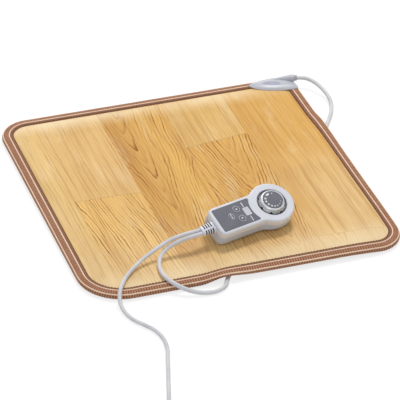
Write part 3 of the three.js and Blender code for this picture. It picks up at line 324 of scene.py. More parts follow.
@dataclass(frozen=True)
class ShadedDishMoulding(Moulded):
    """Pale moulding with painted shade over its shallow oval dish, read on object coordinates."""

    rough: Pair = (0.26, 0.38)
    specular: float = 0.5
    # Colour of the painted shade in the dish's hollow
    dish: Colour = (166, 169, 186)
    centre: Pair = (0.1879, 0.2037)
    half_sizes: Pair = (14.0 * MM, 5.5 * MM)
    turn: float = -0.36

    def marked(self, paint: Paint, colour: Socket) -> Socket:
        """Paints shade over the dish.

        Args:
            paint: The tree under construction.
            colour: Colour of the plain plastic.

        Returns:
            Colour with the dish's painted shade.
        """
        x, y, _ = paint.split(paint.place)
        right, ahead = x - self.centre[0], y - self.centre[1]
        cos, sin = math.cos(self.turn), math.sin(self.turn)
        along = (right * cos + ahead * sin) / self.half_sizes[0]
        across = (ahead * cos - right * sin) / self.half_sizes[1]
        inside = paint.step(along * along + across * across, 0.7, 1.1, 1.0, 0.0)
        return paint.mix(inside, colour, tint(self.dish))


@dataclass(frozen=True)
class Film(Moulded):
    """Printed plastic film with a fine matt tooth."""

    rough: Pair = (0.4, 0.52)
    tooth: Triple = (2600.0, 2.0, 0.7)
    clouds: Pair = (60.0, 2.0)
    blend: float = 0.5
    band: Pair = (0.35, 0.65)
    depth: float = 0.02 * MM
    specular: float = 0.5


@dataclass(frozen=True)
class Plated(Moulded):
    """Metal or metal lacquer with fine turned or drawn lines."""

    rough: Pair = (0.24, 0.38)
    tooth: Triple = (1.0, 3.0, 0.6)
    clouds: Pair = (110.0, 2.0)
    band: Pair = (0.35, 0.7)
    stretch: Triple = (900.0, 900.0, 5200.0)
    depth: float = 0.01 * MM
    specular: float = 0.5
    metallic: float = 1.0


@dataclass(frozen=True)
class Sheath(Moulded):
    """Smooth soft sheath of a lead, a little uneven and dusty."""

    rough: Pair = (0.38, 0.5)
    tooth: Triple = (700.0, 3.0, 0.6)
    clouds: Pair = (45.0, 3.0)
    band: Pair = (0.4, 0.7)
    specular: float = 0.4


@dataclass(frozen=True)
class Thread(Moulded):
    """Twisted sewing thread or piping, whose fibres are paler than its ground."""

    rough: Pair = (0.7, 0.85)
    tooth: Triple = (1400.0, 3.0, 0.6)
    clouds: Pair = (60.0, 2.0)
    blend: float = 0.6
    band: Pair = (0.35, 0.68)
    depth: float = 0.12 * MM
    specular: float = 0.25
    sheen: float = 0.15


@dataclass(frozen=True)
class Ink:
    """Printing ink with slightly broken cover."""

    name: str
    colour: Colour
    ground: Colour
    cover: float = 0.9
    broken: float = 0.12

    def material(self) -> Material:
        """Builds the material.

        Returns:
            The material.
        """
        paint = Paint(self.name)
        wear = paint.noise(paint.place, 1800.0, 3.0, 0.6)
        share = paint.step(wear, 0.2, 0.5, self.cover - self.broken, self.cover)
        return paint.cover(paint.mix(share, tint(self.ground), tint(self.colour)), wear, (0.45, 0.58))


@dataclass(frozen=True)
class Woven:
    """Plain weave cloth read on object coordinates."""

    name: str
    colour: Colour
    shade: Colour
    pitch: float = 1.1 * MM

    def material(self) -> Material:
        """Builds the material.

        Returns:
            The material.
        """
        paint = Paint(self.name)
        x, y, _ = paint.split(paint.place)
        warp, weft = (paint.math("SINE", side * (math.tau / self.pitch)) for side in (x, y))
        fibre = paint.noise(paint.place, 850.0, 4.0, 0.65)
        tone = paint.step(warp * weft, -0.9, 0.9) * 0.6 + fibre * 0.4
        colour = paint.mix(tone, tint(self.shade), tint(self.colour))
        return paint.cover(colour, fibre, (0.82, 0.95), tone, 0.25 * MM, Sheen_Weight=0.2,
                           Specular_IOR_Level=0.2)


@dataclass(frozen=True)
class RibbedTape:
    """Brown woven tape: its UV map runs along the tape and across it, in metres."""

    name: str
    colour: Colour
    shade: Colour
    rib_pitch: float = 1.2 * MM
    slant: float = 0.25

    def material(self) -> Material:
        """Builds the material.

        Returns:
            The material.
        """
        paint = Paint(self.name)
        along, across, _ = paint.split(paint.unwrapped)
        rib = paint.math("SINE", (across * self.slant + along) * (math.tau / self.rib_pitch))
        fibre = paint.noise(paint.place, 900.0, 4.0, 0.65)
        cloud = paint.noise(paint.place, 40.0, 2.0)
        tone = paint.step(rib, -0.9, 0.7) * 0.5 + fibre * 0.35 + cloud * 0.2
        colour = paint.mix(paint.step(tone, 0.2, 0.85), tint(self.shade), tint(self.colour))
        return paint.cover(colour, fibre, (0.78, 0.92), tone, 0.25 * MM, Sheen_Weight=0.18,
                           Specular_IOR_Level=0.2)


@dataclass(frozen=True)
class Board:
    """Look of one printed plank.

    A negative strength turns its arches towards the near end.
    """

    tone: Colour
    strength: float
    heart: float = 0.12
    apex: float = -0.1


@dataclass(frozen=True)
class Row:
    """Row of planks: a joint across it, a plank on each side, and how dark its left side is."""

    joint: float
    tilt: float
    far: Board
    near: Board
    flank: float = 0.0


PALE_OAK = Board((229, 178, 97), 0.26, 0.14)
HONEY_OAK = Board((237, 195, 127), 0.45, 0.13)
LINED_OAK = Board((247, 202, 122), 0.85, 0.1, 0.34)
FLAME_OAK = Board((236, 187, 102), -0.75, 0.018, -0.07)
ARCHED_OAK = Board((234, 184, 102), -0.95, -0.012, 0.21)
STRAIGHT_OAK = Board((234, 192, 118), 0.36, 0.16)
CREAM_OAK = Board((240, 200, 127), 0.38, 0.12)


@dataclass(frozen=True)
class PlankPrint:
    """Vinyl printed with rows of oak planks that run along Y, in metres.

    Each range holds where a change starts and ends, and its strength at both.
    """

    name: str
    row_edge: float = 0.015
    row_width: float = 0.0955
    first_row: int = -3
    rows: tuple[Row, ...] = (
        Row(0.45, 0.0, CREAM_OAK, CREAM_OAK), Row(0.002, -0.03, HONEY_OAK, LINED_OAK),
        Row(0.45, 0.0, FLAME_OAK, FLAME_OAK, 0.55), Row(0.086, 0.12, STRAIGHT_OAK, ARCHED_OAK, 0.1),
        Row(-0.175, -0.08, PALE_OAK, FLAME_OAK), Row(-0.18, -0.05, PALE_OAK, CREAM_OAK),
    )
    pale: Colour = (246, 214, 158)
    grain: Colour = (164, 92, 16)
    line: Colour = (150, 82, 6)
    sheen: Colour = (252, 230, 188)
    plank_shift: float = 3.7
    ring: float = 4.6 * MM
    slope: float = 0.15
    tip: float = 7.0 * MM
    sway: float = 0.03
    glow: float = 0.3
    # Painted sheen towards the right and the front
    sheen_right: Range = (0.06, -0.08, 0.0, 0.6)
    sheen_right_side: Pair = (0.08, 0.17)
    sheen_front: Range = (-0.04, -0.2, 0.0, 0.75)
    worn_patch: Range = (0.5, 0.68, 0.0, 0.5)
    # Painted sheen along the back, left and front borders
    border_back: Range = (0.168, 0.206, 0.0, 0.75)
    border_left: Range = (-0.17, -0.206, 0.0, 0.2)
    border_front: Range = (-0.16, -0.206, 0.0, 0.65)
    border_cloud: Range = (0.3, 0.65, 0.45, 1.0)
    line_rise: Pair = (0.6, 0.92)
    line_fall: Range = (0.94, 1.0, 1.0, 0.0)
    line_each: Range = (0.43, 0.66, 0.05, 1.0)
    line_bold: Range = (0.45, 0.9, 0.85, 1.95)
    line_front: Range = (-0.09, -0.18, 1.0, 0.3)
    line_fibre: Range = (0.34, 0.6, 0.35, 1.0)
    edge_line: Range = (0.2 * MM, 0.8 * MM, 1.0, 0.0)
    shade_share: float = 0.44
    streak_share: float = 0.36
    growth_share: float = 0.92
    pore_share: float = 0.4
    edge_share: float = 0.3
    depth: float = 0.08 * MM

    def material(self) -> Material:
        """Builds the material."""
        return PlankTree(self).printed()


class PlankTree(Paint):
    """Shader tree of the planks, which knows the plank that each place lies in."""

    def __init__(self, planks: PlankPrint) -> None:
        """Finds the row, the plank and the place in it.

        Args:
            planks: Sizes and colours of the print.
        """
        super().__init__(planks.name)
        self.planks = planks
        self.x, self.y, _ = self.split(self.place)
        place = (self.x - planks.row_edge) / planks.row_width
        index = self.math("FLOOR", place)
        self.inside = place - index
        self.row = (index - (planks.first_row - 0.5)) / float(len(planks.rows))
        joint, tilt, self.flank = self.coded([(row.joint, row.tilt, row.flank) for row in planks.rows])
        self.joint = self.inside * planks.row_width * tilt + joint
        self.far = self.math("GREATER_THAN", self.y, self.joint)
        self.shift = (index * 2.0 + self.far) * planks.plank_shift

    def coded(self, values: Sequence[Triple]) -> list[Number]:
        """Reads three sizes, each from -0.5 to 0.5, that differ from row to row."""
        colours = [(*(size + 0.5 for size in sizes), 1.0) for sizes in values]
        return [channel - 0.5 for channel in self.split(self.choose(self.row, colours))]

    def along(self, across: float, length: float, detail: float = 2.0, rough: float = 0.5) -> Number:
        """Noise with this many features in a metre across and along the planks."""
        return self.figure(self.x * across, self.y * length, self.shift, detail, rough)

    def printed(self) -> Material:
        """Prints the planks, from their tone to their sheen.

        Returns:
            The material.
        """
        planks = self.planks
        tones, looks = [], []
        for boards in ([row.near for row in planks.rows], [row.far for row in planks.rows]):
            tones.append(self.choose(self.row, [tint(board.tone) for board in boards]))
            looks.append(self.coded([(board.heart, board.apex, board.strength / 2) for board in boards]))
        look = [self.far * (there - here) + here for here, there in zip(*looks)]
        pores = self.step(self.along(720.0, 26.0, 3.0, 0.55), 0.6, 0.74)
        edge = self.edges()
        # Painted sheen at the right and front, and pale patches in the print
        colour = self.sheen_and_patches(self.mix(self.far, *tones))
        for strength, share, ink in (
            (self.shading(), planks.shade_share, planks.grain),
            (self.streaks(), planks.streak_share, planks.grain),
            (self.growth(*look), planks.growth_share, planks.line),
            (pores, planks.pore_share, planks.line),
            (edge, planks.edge_share, planks.line),
            # Painted sheen along the borders
            (self.border_sheen(), 1.0, planks.sheen),
        ):
            colour = self.mix(strength * share, colour, tint(ink))
        tooth = self.noise(self.place, 1100.0, 2.0, 0.6)
        relief = tooth * 0.25 + (edge * -0.8 + pores * -0.4)
        return self.cover(colour, tooth, (0.36, 0.46), relief, planks.depth, Specular_IOR_Level=0.12)

    def sheen_and_patches(self, tone: Socket) -> Socket:
        """Paints a pale sheen towards the right and the front, and pales the print in patches.

        Args:
            tone: Colour of the planks.

        Returns:
            The paler colour.
        """
        planks, pale = self.planks, tint(self.planks.pale)
        right = self.step(self.y, *planks.sheen_right) * self.step(self.x, *planks.sheen_right_side)
        sides = self.math("MAXIMUM", right, self.step(self.y, *planks.sheen_front))
        patch = self.step(self.along(34.0, 9.0, 4.0, 0.6), *planks.worn_patch)
        return self.mix(patch, self.mix(sides, tone, pale), pale)

    def growth(self, heart: Number, apex: Number, half: Number) -> Number:
        """Growth rings: nested arches where the heart lies in the plank, straight lines elsewhere.

        Args:
            heart: Distance of the heart from the plank's middle.
            apex: Height of its arch.
            half: Half the strength of the lines.

        Returns:
            Strength of the lines from 0 to 1.
        """
        planks, y, inside, shift = self.planks, self.y, self.inside, self.shift
        strength = half * 2.0
        bold = self.math("ABSOLUTE", strength)
        sway = (self.figure(y * 6.0, shift, inside, 3.0) - 0.5) * planks.sway
        side = (inside - 0.5) * planks.row_width + heart + sway
        spread = self.math("SQRT", side * side + planks.tip ** 2)
        rings = (spread + (y - apex) * (strength * planks.slope)) / planks.ring
        wobble = self.figure(inside * 5.0, y * 9.0, shift, 4.0, 0.55) * (bold * 1.6 + 0.3)
        count = rings + wobble
        saw = self.math("FRACT", count)
        line = self.step(saw, *planks.line_rise) * self.step(saw, *planks.line_fall)
        each = self.figure(self.math("FLOOR", count) * 7.31, y * 7.0, shift)
        vary = self.step(each, *planks.line_each) * self.step(bold, *planks.line_bold)
        vary = vary * self.step(y, *planks.line_front)
        fibre = self.step(self.figure(inside * 130.0, y * 14.0, shift), *planks.line_fibre)
        return (line * vary + saw * saw * planks.glow) * fibre * bold

    def border_sheen(self) -> Number:
        """Painted pale sheen where the padded cover turns down at its back, left and front sides.

        Returns:
            Strength from 0 to 1.
        """
        planks = self.planks
        sides = self.step(self.y, *planks.border_back)
        for place, change in ((self.x, planks.border_left), (self.y, planks.border_front)):
            sides = self.math("MAXIMUM", sides, self.step(place, *change))
        cloud = self.figure(self.x * 14.0, self.y * 14.0, 2.3, 3.0)
        return sides * self.step(cloud, *planks.border_cloud)

    def shading(self) -> Number:
        """Broad darker flow, and the darker left side of some planks."""
        cloud = self.step(self.figure(self.x * 26.0, self.y * 7.0, 0.4, 3.0, 0.55), 0.4, 0.7)
        return cloud * 0.3 + self.step(cloud * 0.25 + self.inside, 0.75, 0.3) * self.flank

    def streaks(self) -> Number:
        """Wide and thin uneven streaks along the planks."""
        wide = self.step(self.along(110.0, 3.0, 3.0, 0.6), 0.45, 0.8)
        return self.step(self.along(330.0, 5.0), 0.5, 0.68) * 0.7 + wide * 0.5

    def edges(self) -> Number:
        """Thin printed lines between planks.

        Returns:
            Strength from 0 to 1.
        """
        side = self.math("MINIMUM", self.inside, self.math("SUBTRACT", 1.0, self.inside))
        end = self.math("ABSOLUTE", self.y - self.joint)
        nearest = self.math("MINIMUM", side * self.planks.row_width, end)
        return self.step(nearest, *self.planks.edge_line)


class Finishes:
    """The materials of the object, one for each slot and print."""

    def __init__(self) -> None:
        """Builds every material once."""
        by_slot = {
            Slot.VINYL: PlankPrint("plank_vinyl"),
            Slot.SILICONE: Sheath("heater_sleeve", (217, 210, 197), (204, 196, 182)),
            Slot.FELT: Woven("needle_felt", (188, 182, 172), (170, 164, 154), 2.4 * MM),
            Slot.BACKING: Woven("backing_weave", (140, 110, 82), (112, 84, 60)),
            Slot.TAPE: RibbedTape("ribbed_tape", (164, 114, 84), (120, 78, 55)),
            Slot.PALE: Moulded("pale_moulding", (195, 197, 205), (187, 189, 198), (0.29, 0.41)),
            Slot.CASE: Moulded("case_moulding", (226, 228, 235), (219, 221, 229)),
            Slot.FILM: Film("panel_film", (103, 104, 114), (92, 93, 103)),
            Slot.WINDOW: Moulded("window_pane", (227, 229, 236), (218, 221, 228), (0.07, 0.19),
                                 (300.0, 2.0, 0.6)),
            Slot.KEY: Film("key_rubber", (100, 101, 111), (90, 91, 101)),
            Slot.SILVER: Plated("silver_lacquer", (182, 184, 186), (166, 168, 171), (0.18, 0.32),
                                metallic=0.5),
            Slot.DARK: Moulded("dark_moulding", (56, 58, 63), (48, 50, 55), (0.45, 0.57)),
            Slot.BOARD: Film("board_laminate", (63, 107, 74), (54, 94, 64)),
            Slot.STEEL: Plated("plated_steel", (190, 193, 196), (168, 172, 176)),
            Slot.SHEATH: Sheath("lead_sheath", (222, 221, 224), (212, 211, 215)),
            Slot.PIN: Plated("nickel_pin", (196, 192, 178), (178, 173, 158), (0.19, 0.33)),
        }
        self.by_slot = {slot: finish.material() for slot, finish in by_slot.items()}
        # Lower shell: the case plastic made darker and bluer as painted shade
        self.under = Moulded("shaded_lower_moulding", (200, 210, 228), (193, 203, 222)).material()
        # Painted shade on the floor and wall of the dial's well
        self.well = Moulded("painted_well_shade", (152, 154, 160), (142, 144, 151), (0.35, 0.47)).material()
        self.cream = Thread("cream_piping", (243, 205, 175), (255, 226, 200)).material()
        self.seam = Thread("seam_thread", (54, 30, 16), (78, 46, 26)).material()
        self.rib = Thread("rib_yarn", (184, 130, 98), (212, 158, 122)).material()
        # Housing top, with painted shade in its dish
        self.shaded_dish = ShadedDishMoulding("shaded_dish_moulding", (195, 197, 205), (187, 189, 198)).material()
        self.collar = Sheath("collar_sheath", (186, 182, 196), (174, 170, 186)).material()
        # Painted shade in the strain relief's grooves and the dial's notches
        self.recess_shade = Moulded("painted_recess_shade", (74, 75, 80), (62, 63, 68), (0.45, 0.57)).material()
        # Painted highlight on the chamfered rim round the dial's cap
        rim = Plated("painted_rim_highlight", (226, 228, 231), (212, 214, 218), (0.14, 0.28), metallic=0.45)
        self.rim = rim.material()
        self.white = Ink("white_print", (246, 246, 248), (150, 148, 156)).material()
        self.grey = Ink("grey_print", (196, 196, 204), (124, 122, 130)).material()
        self.segment = Ink("display_segment", (178, 182, 190), (198, 200, 206), 0.8).material()

    def __getitem__(self, slot: Slot) -> Material:
        """The material of a slot."""
        return self.by_slot[slot]


# Meshes


def shown(name: str, data: bpy.types.ID) -> Piece:
    """Makes an object of some data at the origin and shows it.

    Args:
        name: Name of the object.
        data: Mesh, curve, light or camera.

    Returns:
        The object.
    """
    piece = bpy.data.objects.new(name, data)
    bpy.context.scene.collection.objects.link(piece)
    return piece


def painted(mesh: Mesh, material: Material) -> Mesh:
    """Gives a mesh one material.

    Args:
        mesh: The mesh.
        material: Its only material.

    Returns:
        The mesh.
    """
    mesh.materials.clear()
    mesh.materials.append(material)
    return mesh


def mark_sharp(mesh: Mesh, sharp: float) -> None:
    """Shades a mesh smooth apart from its sharp edges.

    Args:
        mesh: The mesh.
        sharp: Angle in degrees from which an edge is sharp.
    """
    work = bmesh.new()
    work.from_mesh(mesh)
    for face in work.faces:
        face.smooth = True
    for edge in work.edges:
        edge.smooth = edge.calc_face_angle(math.pi) < math.radians(sharp)
    work.to_mesh(mesh)
    work.free()


def built(name: str, points: Sequence[Sequence[float]], faces: Sequence[Sequence[int]],
          material: Material, sharp: float = 40.0) -> Piece:
    """Makes a smooth-shaded piece with its sharp edges marked.

    Args:
        name: Name of the piece.
        points: Places of its vertices.
        faces: Vertex numbers of its faces.
        material: Its material.
        sharp: Angle in degrees from which an edge is sharp.

    Returns:
        The piece.
    """
    mesh = bpy.data.meshes.new(name)
    mesh.from_pydata([tuple(point) for point in points], [], faces)
    mark_sharp(mesh, sharp)
    return shown(name, painted(mesh, material))


def skin(rings: Sequence[Sequence[Vector]], looped: bool = False) -> tuple[list[Vector], list[tuple]]:
    """Faces through rings of equal counts, capped at both ends or joined into a loop.

    Args:
        rings: Rings of points, each one closed.
        looped: True to join the last ring to the first.

    Returns:
        Points and faces.
    """
    count = len(rings[0])
    points = [point for ring in rings for point in ring]
    faces: list[tuple[int, ...]] = []
    for band in range(len(rings) if looped else len(rings) - 1):
        here = band * count
        ahead = (band + 1) % len(rings) * count
        for i in range(count):
            j = (i + 1) % count
            faces.append((here + i, here + j, ahead + j, ahead + i))
    if not looped:
        end = (len(rings) - 1) * count
        faces.append(tuple(reversed(range(count))))
        faces.append(tuple(range(end, end + count)))
    return points, faces


@dataclass(frozen=True)
class RoundWalls:
    """Upright axes of a piece's round walls, each with its largest radius, in the piece's own frame."""

    place: Matrix
    axes: tuple[Triple, ...]
    shortest: float = 0.9
    widest: float = 0.5
    even: float = 0.012
    cuts: int = 3

    def divide(self, work: bmesh.types.BMesh) -> None:
        """Divides the edges that run round each axis and moves the new points on to their circles.

        Args:
            work: The mesh.
        """
        back = self.place.inverted()
        reach = work.verts.layers.float.new("reach")
        for x, y, largest in self.axes:
            for vertex in work.verts:
                local = back @ vertex.co
                vertex[reach] = math.hypot(local.x - x, local.y - y)
            arcs = []
            for edge in work.edges:
                radius, other = (vertex[reach] for vertex in edge.verts)
                along = self.shortest < edge.calc_length() / MM < self.widest * radius
                if along and abs(radius - other) < self.even and radius < largest:
                    arcs.append(edge)
            made = bmesh.ops.subdivide_edges(work, edges=arcs, cuts=self.cuts, use_grid_fill=True)
            for vertex in {item for item in made["geom_inner"] if isinstance(item, bmesh.types.BMVert)}:
                local = back @ vertex.co
                away = Vector((local.x - x, local.y - y, 0.0))
                vertex.co = self.place @ (local + away * (vertex[reach] / away.length - 1))
        work.verts.layers.float.remove(reach)


def refined_copy(node: str, material: Material, edge: float, sharp: float = SHARP_DEGREES,
                 walls: RoundWalls | None = None) -> Piece:
    """Copies a rigid solid, smooths its facets and rounds its edges.

    Args:
        node: Name of the solid.
        material: Material of the copy.
        edge: Width of the rounded edges in millimetres.
        sharp: Angle in degrees from which an edge is rounded.
        walls: Its round walls.

    Returns:
        The new piece.
    """
    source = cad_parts[node].data
    work = bmesh.new()
    places = [work.verts.new(vertex.co) for vertex in source.vertices]
    for polygon in source.polygons:
        work.faces.new([places[index] for index in polygon.vertices])
    bmesh.ops.remove_doubles(work, verts=work.verts, dist=WELD)
    flat = math.radians(FLAT_DEGREES)
    bmesh.ops.dissolve_limit(work, angle_limit=flat, verts=[], edges=work.edges)
    if walls:
        walls.divide(work)
    mesh = bpy.data.meshes.new(f"{node}_skin")
    work.to_mesh(mesh)
    work.free()
    mark_sharp(mesh, sharp)
    piece = shown(f"{node}_skin", painted(mesh, material))
    bevel = piece.modifiers.new("rounded edges", "BEVEL")
    bevel.limit_method = "ANGLE"
    bevel.angle_limit = math.radians(sharp)
    bevel.width = edge * MM
    bevel.segments = 2
    bevel.use_clamp_overlap = True
    normals = piece.modifiers.new("even shading", "WEIGHTED_NORMAL")
    normals.keep_sharp = True
    return piece


def settle(piece: Piece, body: Body, slot: Slot, *nodes: str) -> Piece:
    """Rides a piece on a body and hides the solids that it stands for.

    Args:
        piece: The finished piece.
        body: Body that it moves with.
        slot: Slot that its finish belongs to; not used.
        nodes: Solids that it replaces.

    Returns:
        The piece.
    """
    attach(piece, body.value)
    if nodes:
        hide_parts(*nodes)
    LOG.info("%s rides on %s", piece.name, body.value)
    return piece


class Rule(Tree):
    """Geometry node tree with named sizes, grown on a closed line of points."""

    def __init__(self, name: str, **sizes: float) -> None:
        """Starts a tree with one geometry input and output.

        Args:
            name: Name of the tree and its piece.
            sizes: Named sizes.
        """
        super().__init__(bpy.data.node_groups.new(name, "GeometryNodeTree"))
        self.name = name
        self.sizes: dict[str, float] = {}
        sockets = self.tree.interface
        sockets.new_socket("Line", in_out="INPUT", socket_type="NodeSocketGeometry")
        sockets.new_socket("Result", in_out="OUTPUT", socket_type="NodeSocketGeometry")
        for size, value in sizes.items():
            socket = sockets.new_socket(size, in_out="INPUT", socket_type="NodeSocketFloat")
            self.sizes[socket.identifier] = value
        entry = self.tree.nodes.new("NodeGroupInput")
        self.size = entry.outputs
        self.line = self.make("GeometryNodeMeshToCurve", {"Mesh": entry.outputs["Line"]})

    def vector(self, x: object, y: object, z: object) -> Socket:
        """Vector of three values."""
        return self.make("ShaderNodeCombineXYZ", {"X": x, "Y": y, "Z": z})

    def moved(self, shape: Socket, **changes: object) -> Socket:
        """Shape with a new Translation, Rotation or Scale."""
        return self.make("GeometryNodeTransform", {"Geometry": shape, **changes})

    def circle(self, sides: int, radius: Socket) -> Socket:
        """Circle of straight sides."""
        return self.make("GeometryNodeCurvePrimitiveCircle", {"Resolution": sides, "Radius": radius})

    def repeat(self, shape: Socket, pitch: Socket) -> Socket:
        """Repeats a shape along the line, its X axis along it and its Z axis up.

        Args:
            shape: What is repeated.
            pitch: Distance from one to the next.

        Returns:
            The instances.
        """
        along = {"Curve": self.line, "Length": pitch}
        points = self.node("GeometryNodeCurveToPoints", along, mode="LENGTH")
        turn = {"Vector": points.outputs["Tangent"]}
        for pivot in ("Z", "Y"):
            turned = self.make("FunctionNodeAlignRotationToVector", turn, axis="X", pivot_axis=pivot)
            turn["Rotation"] = turned
        inputs = {"Points": points.outputs["Points"], "Instance": shape, "Rotation": turned}
        return self.make("GeometryNodeInstanceOnPoints", inputs)

    def grow(self, shape: Socket, points: Sequence[Vector], material: Material) -> Piece:
        """Ends the tree, runs it on a closed line and keeps the plain mesh.

        Args:
            shape: What the tree has made.
            points: Points of the line.
            material: Material of the result.

        Returns:
            The piece as a plain mesh.
        """
        solid = self.make("GeometryNodeRealizeInstances", {"Geometry": shape})
        smooth = self.make("GeometryNodeSetShadeSmooth", {"Geometry": solid})
        done = self.make("GeometryNodeSetMaterial", {"Geometry": smooth, "Material": material})
        self.node("NodeGroupOutput", {0: done})
        edges = [(i, (i + 1) % len(points)) for i in range(len(points))]
        line = bpy.data.meshes.new(self.name)
        line.from_pydata([tuple(point) for point in points], edges, [])
        piece = shown(self.name, line)
        modifier = piece.modifiers.new(self.name, "NODES")
        modifier.node_group = self.tree
        for identifier, value in self.sizes.items():
            modifier[identifier] = value
        graph = bpy.context.evaluated_depsgraph_get()
        mesh = bpy.data.meshes.new_from_object(piece.evaluated_get(graph))
        piece.modifiers.clear()
        piece.data = painted(mesh, material)
        return piece


# Cord routes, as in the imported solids

PAD_LEAD_ROUTE_MM = (
    (228.8, 206.92, 15.5), (232.71, 206.09, 15.5), (239.4, 203.2, 15.3), (245.6, 197.6, 14.6),
    (250.8, 189.6, 13.4), (255.1, 179.4, 11.3), (258.0, 167.6, 9.0), (258.9, 154.8, 6.9),
    (256.6, 139.8, 5.0), (249.9, 122.6, 3.7), (240.6, 106.6, 3.3), (229.5, 89.5, 3.2),
    (217.0, 66.5, 3.2), (206.5, 39.0, 3.2), (199.5, 6.0, 3.2), (194.5, -38.0, 3.2),
    (192.5, -88.0, 3.2), (191.5, -138.0, 3.2), (180.0, -178.5, 3.2), (142.0, -195.5, 3.2),
    (88.0, -197.5, 3.2), (10.0, -199.5, 3.2), (-13.0, -204.0, 3.2),
    (-27.5, -213.0, 3.2), (-35.5, -224.5, 3.2), (-42.5, -236.0, 3.2), (-53.6, -242.6, 3.2),
    (-67.5, -243.6, 3.2), (-82.8, -240.4, 4.8), (-97.2, -233.8, 8.6), (-108.2, -224.0, 12.3),
    (-114.7, -210.5, 13.3), (-116.8, -193.6, 12.8), (-113.9, -176.0, 13.6), (-107.4, -164.0, 16.9),
    (-97.4, -157.6, 21.7), (-83.3, -155.2, 27.0), (-67.2, -154.4, 30.8), (-49.59, -152.61, 31.78),
    (-45.72, -151.59, 31.78),
)
HIDDEN_FIRST, HIDDEN_LAST = 11, 24
MAINS_ROUTE_MM = (
    (-47.19, -146.03, 34.1), (-51.06, -147.05, 34.1), (-69.4, -149.2, 33.8), (-87.7, -151.0, 31.2),
    (-106.5, -155.4, 26.0), (-126.0, -162.0, 19.8), (-142.4, -170.4, 15.2), (-158.1, -183.0, 12.9),
    (-171.5, -199.4, 12.6), (-181.0, -216.0, 12.5), (-186.2, -229.2, 9.6), (-187.4, -240.0, 5.6),
    (-186.4, -250.6, 3.4), (-183.8, -261.6, 2.9), (-178.6, -273.6, 2.9), (-170.8, -284.8, 2.9),
    (-162.4, -298.0, 2.9), (-157.4, -316.0, 2.9), (-158.4, -338.0, 2.9), (-166.6, -366.0, 2.9),
    (-178.8, -404.0, 2.9), (-191.4, -443.0, 2.9), (-201.0, -472.0, 3.2), (-206.7, -489.0, 4.1),
)
MAINS_TAIL_MM = (
    (-158.0, -556.5, 9.5), (-140.0, -556.5, 8.4), (-115.0, -556.5, 7.2), (-98.0, -556.5, 7.0),
    (-86.3, -556.5, 7.0),
)


def metres(route: Sequence[Triple]) -> list[Vector]:
    """Points in metres of a route in millimetres."""
    return [Vector(point) * MM for point in route]


def eased(value: np.ndarray | float, low: float, high: float) -> np.ndarray | float:
    """Smooth share of the way from low to high."""
    share = np.clip((value - low) / (high - low), 0, 1)
    return share ** 2 * (3 - 2 * share)


# Seat pad


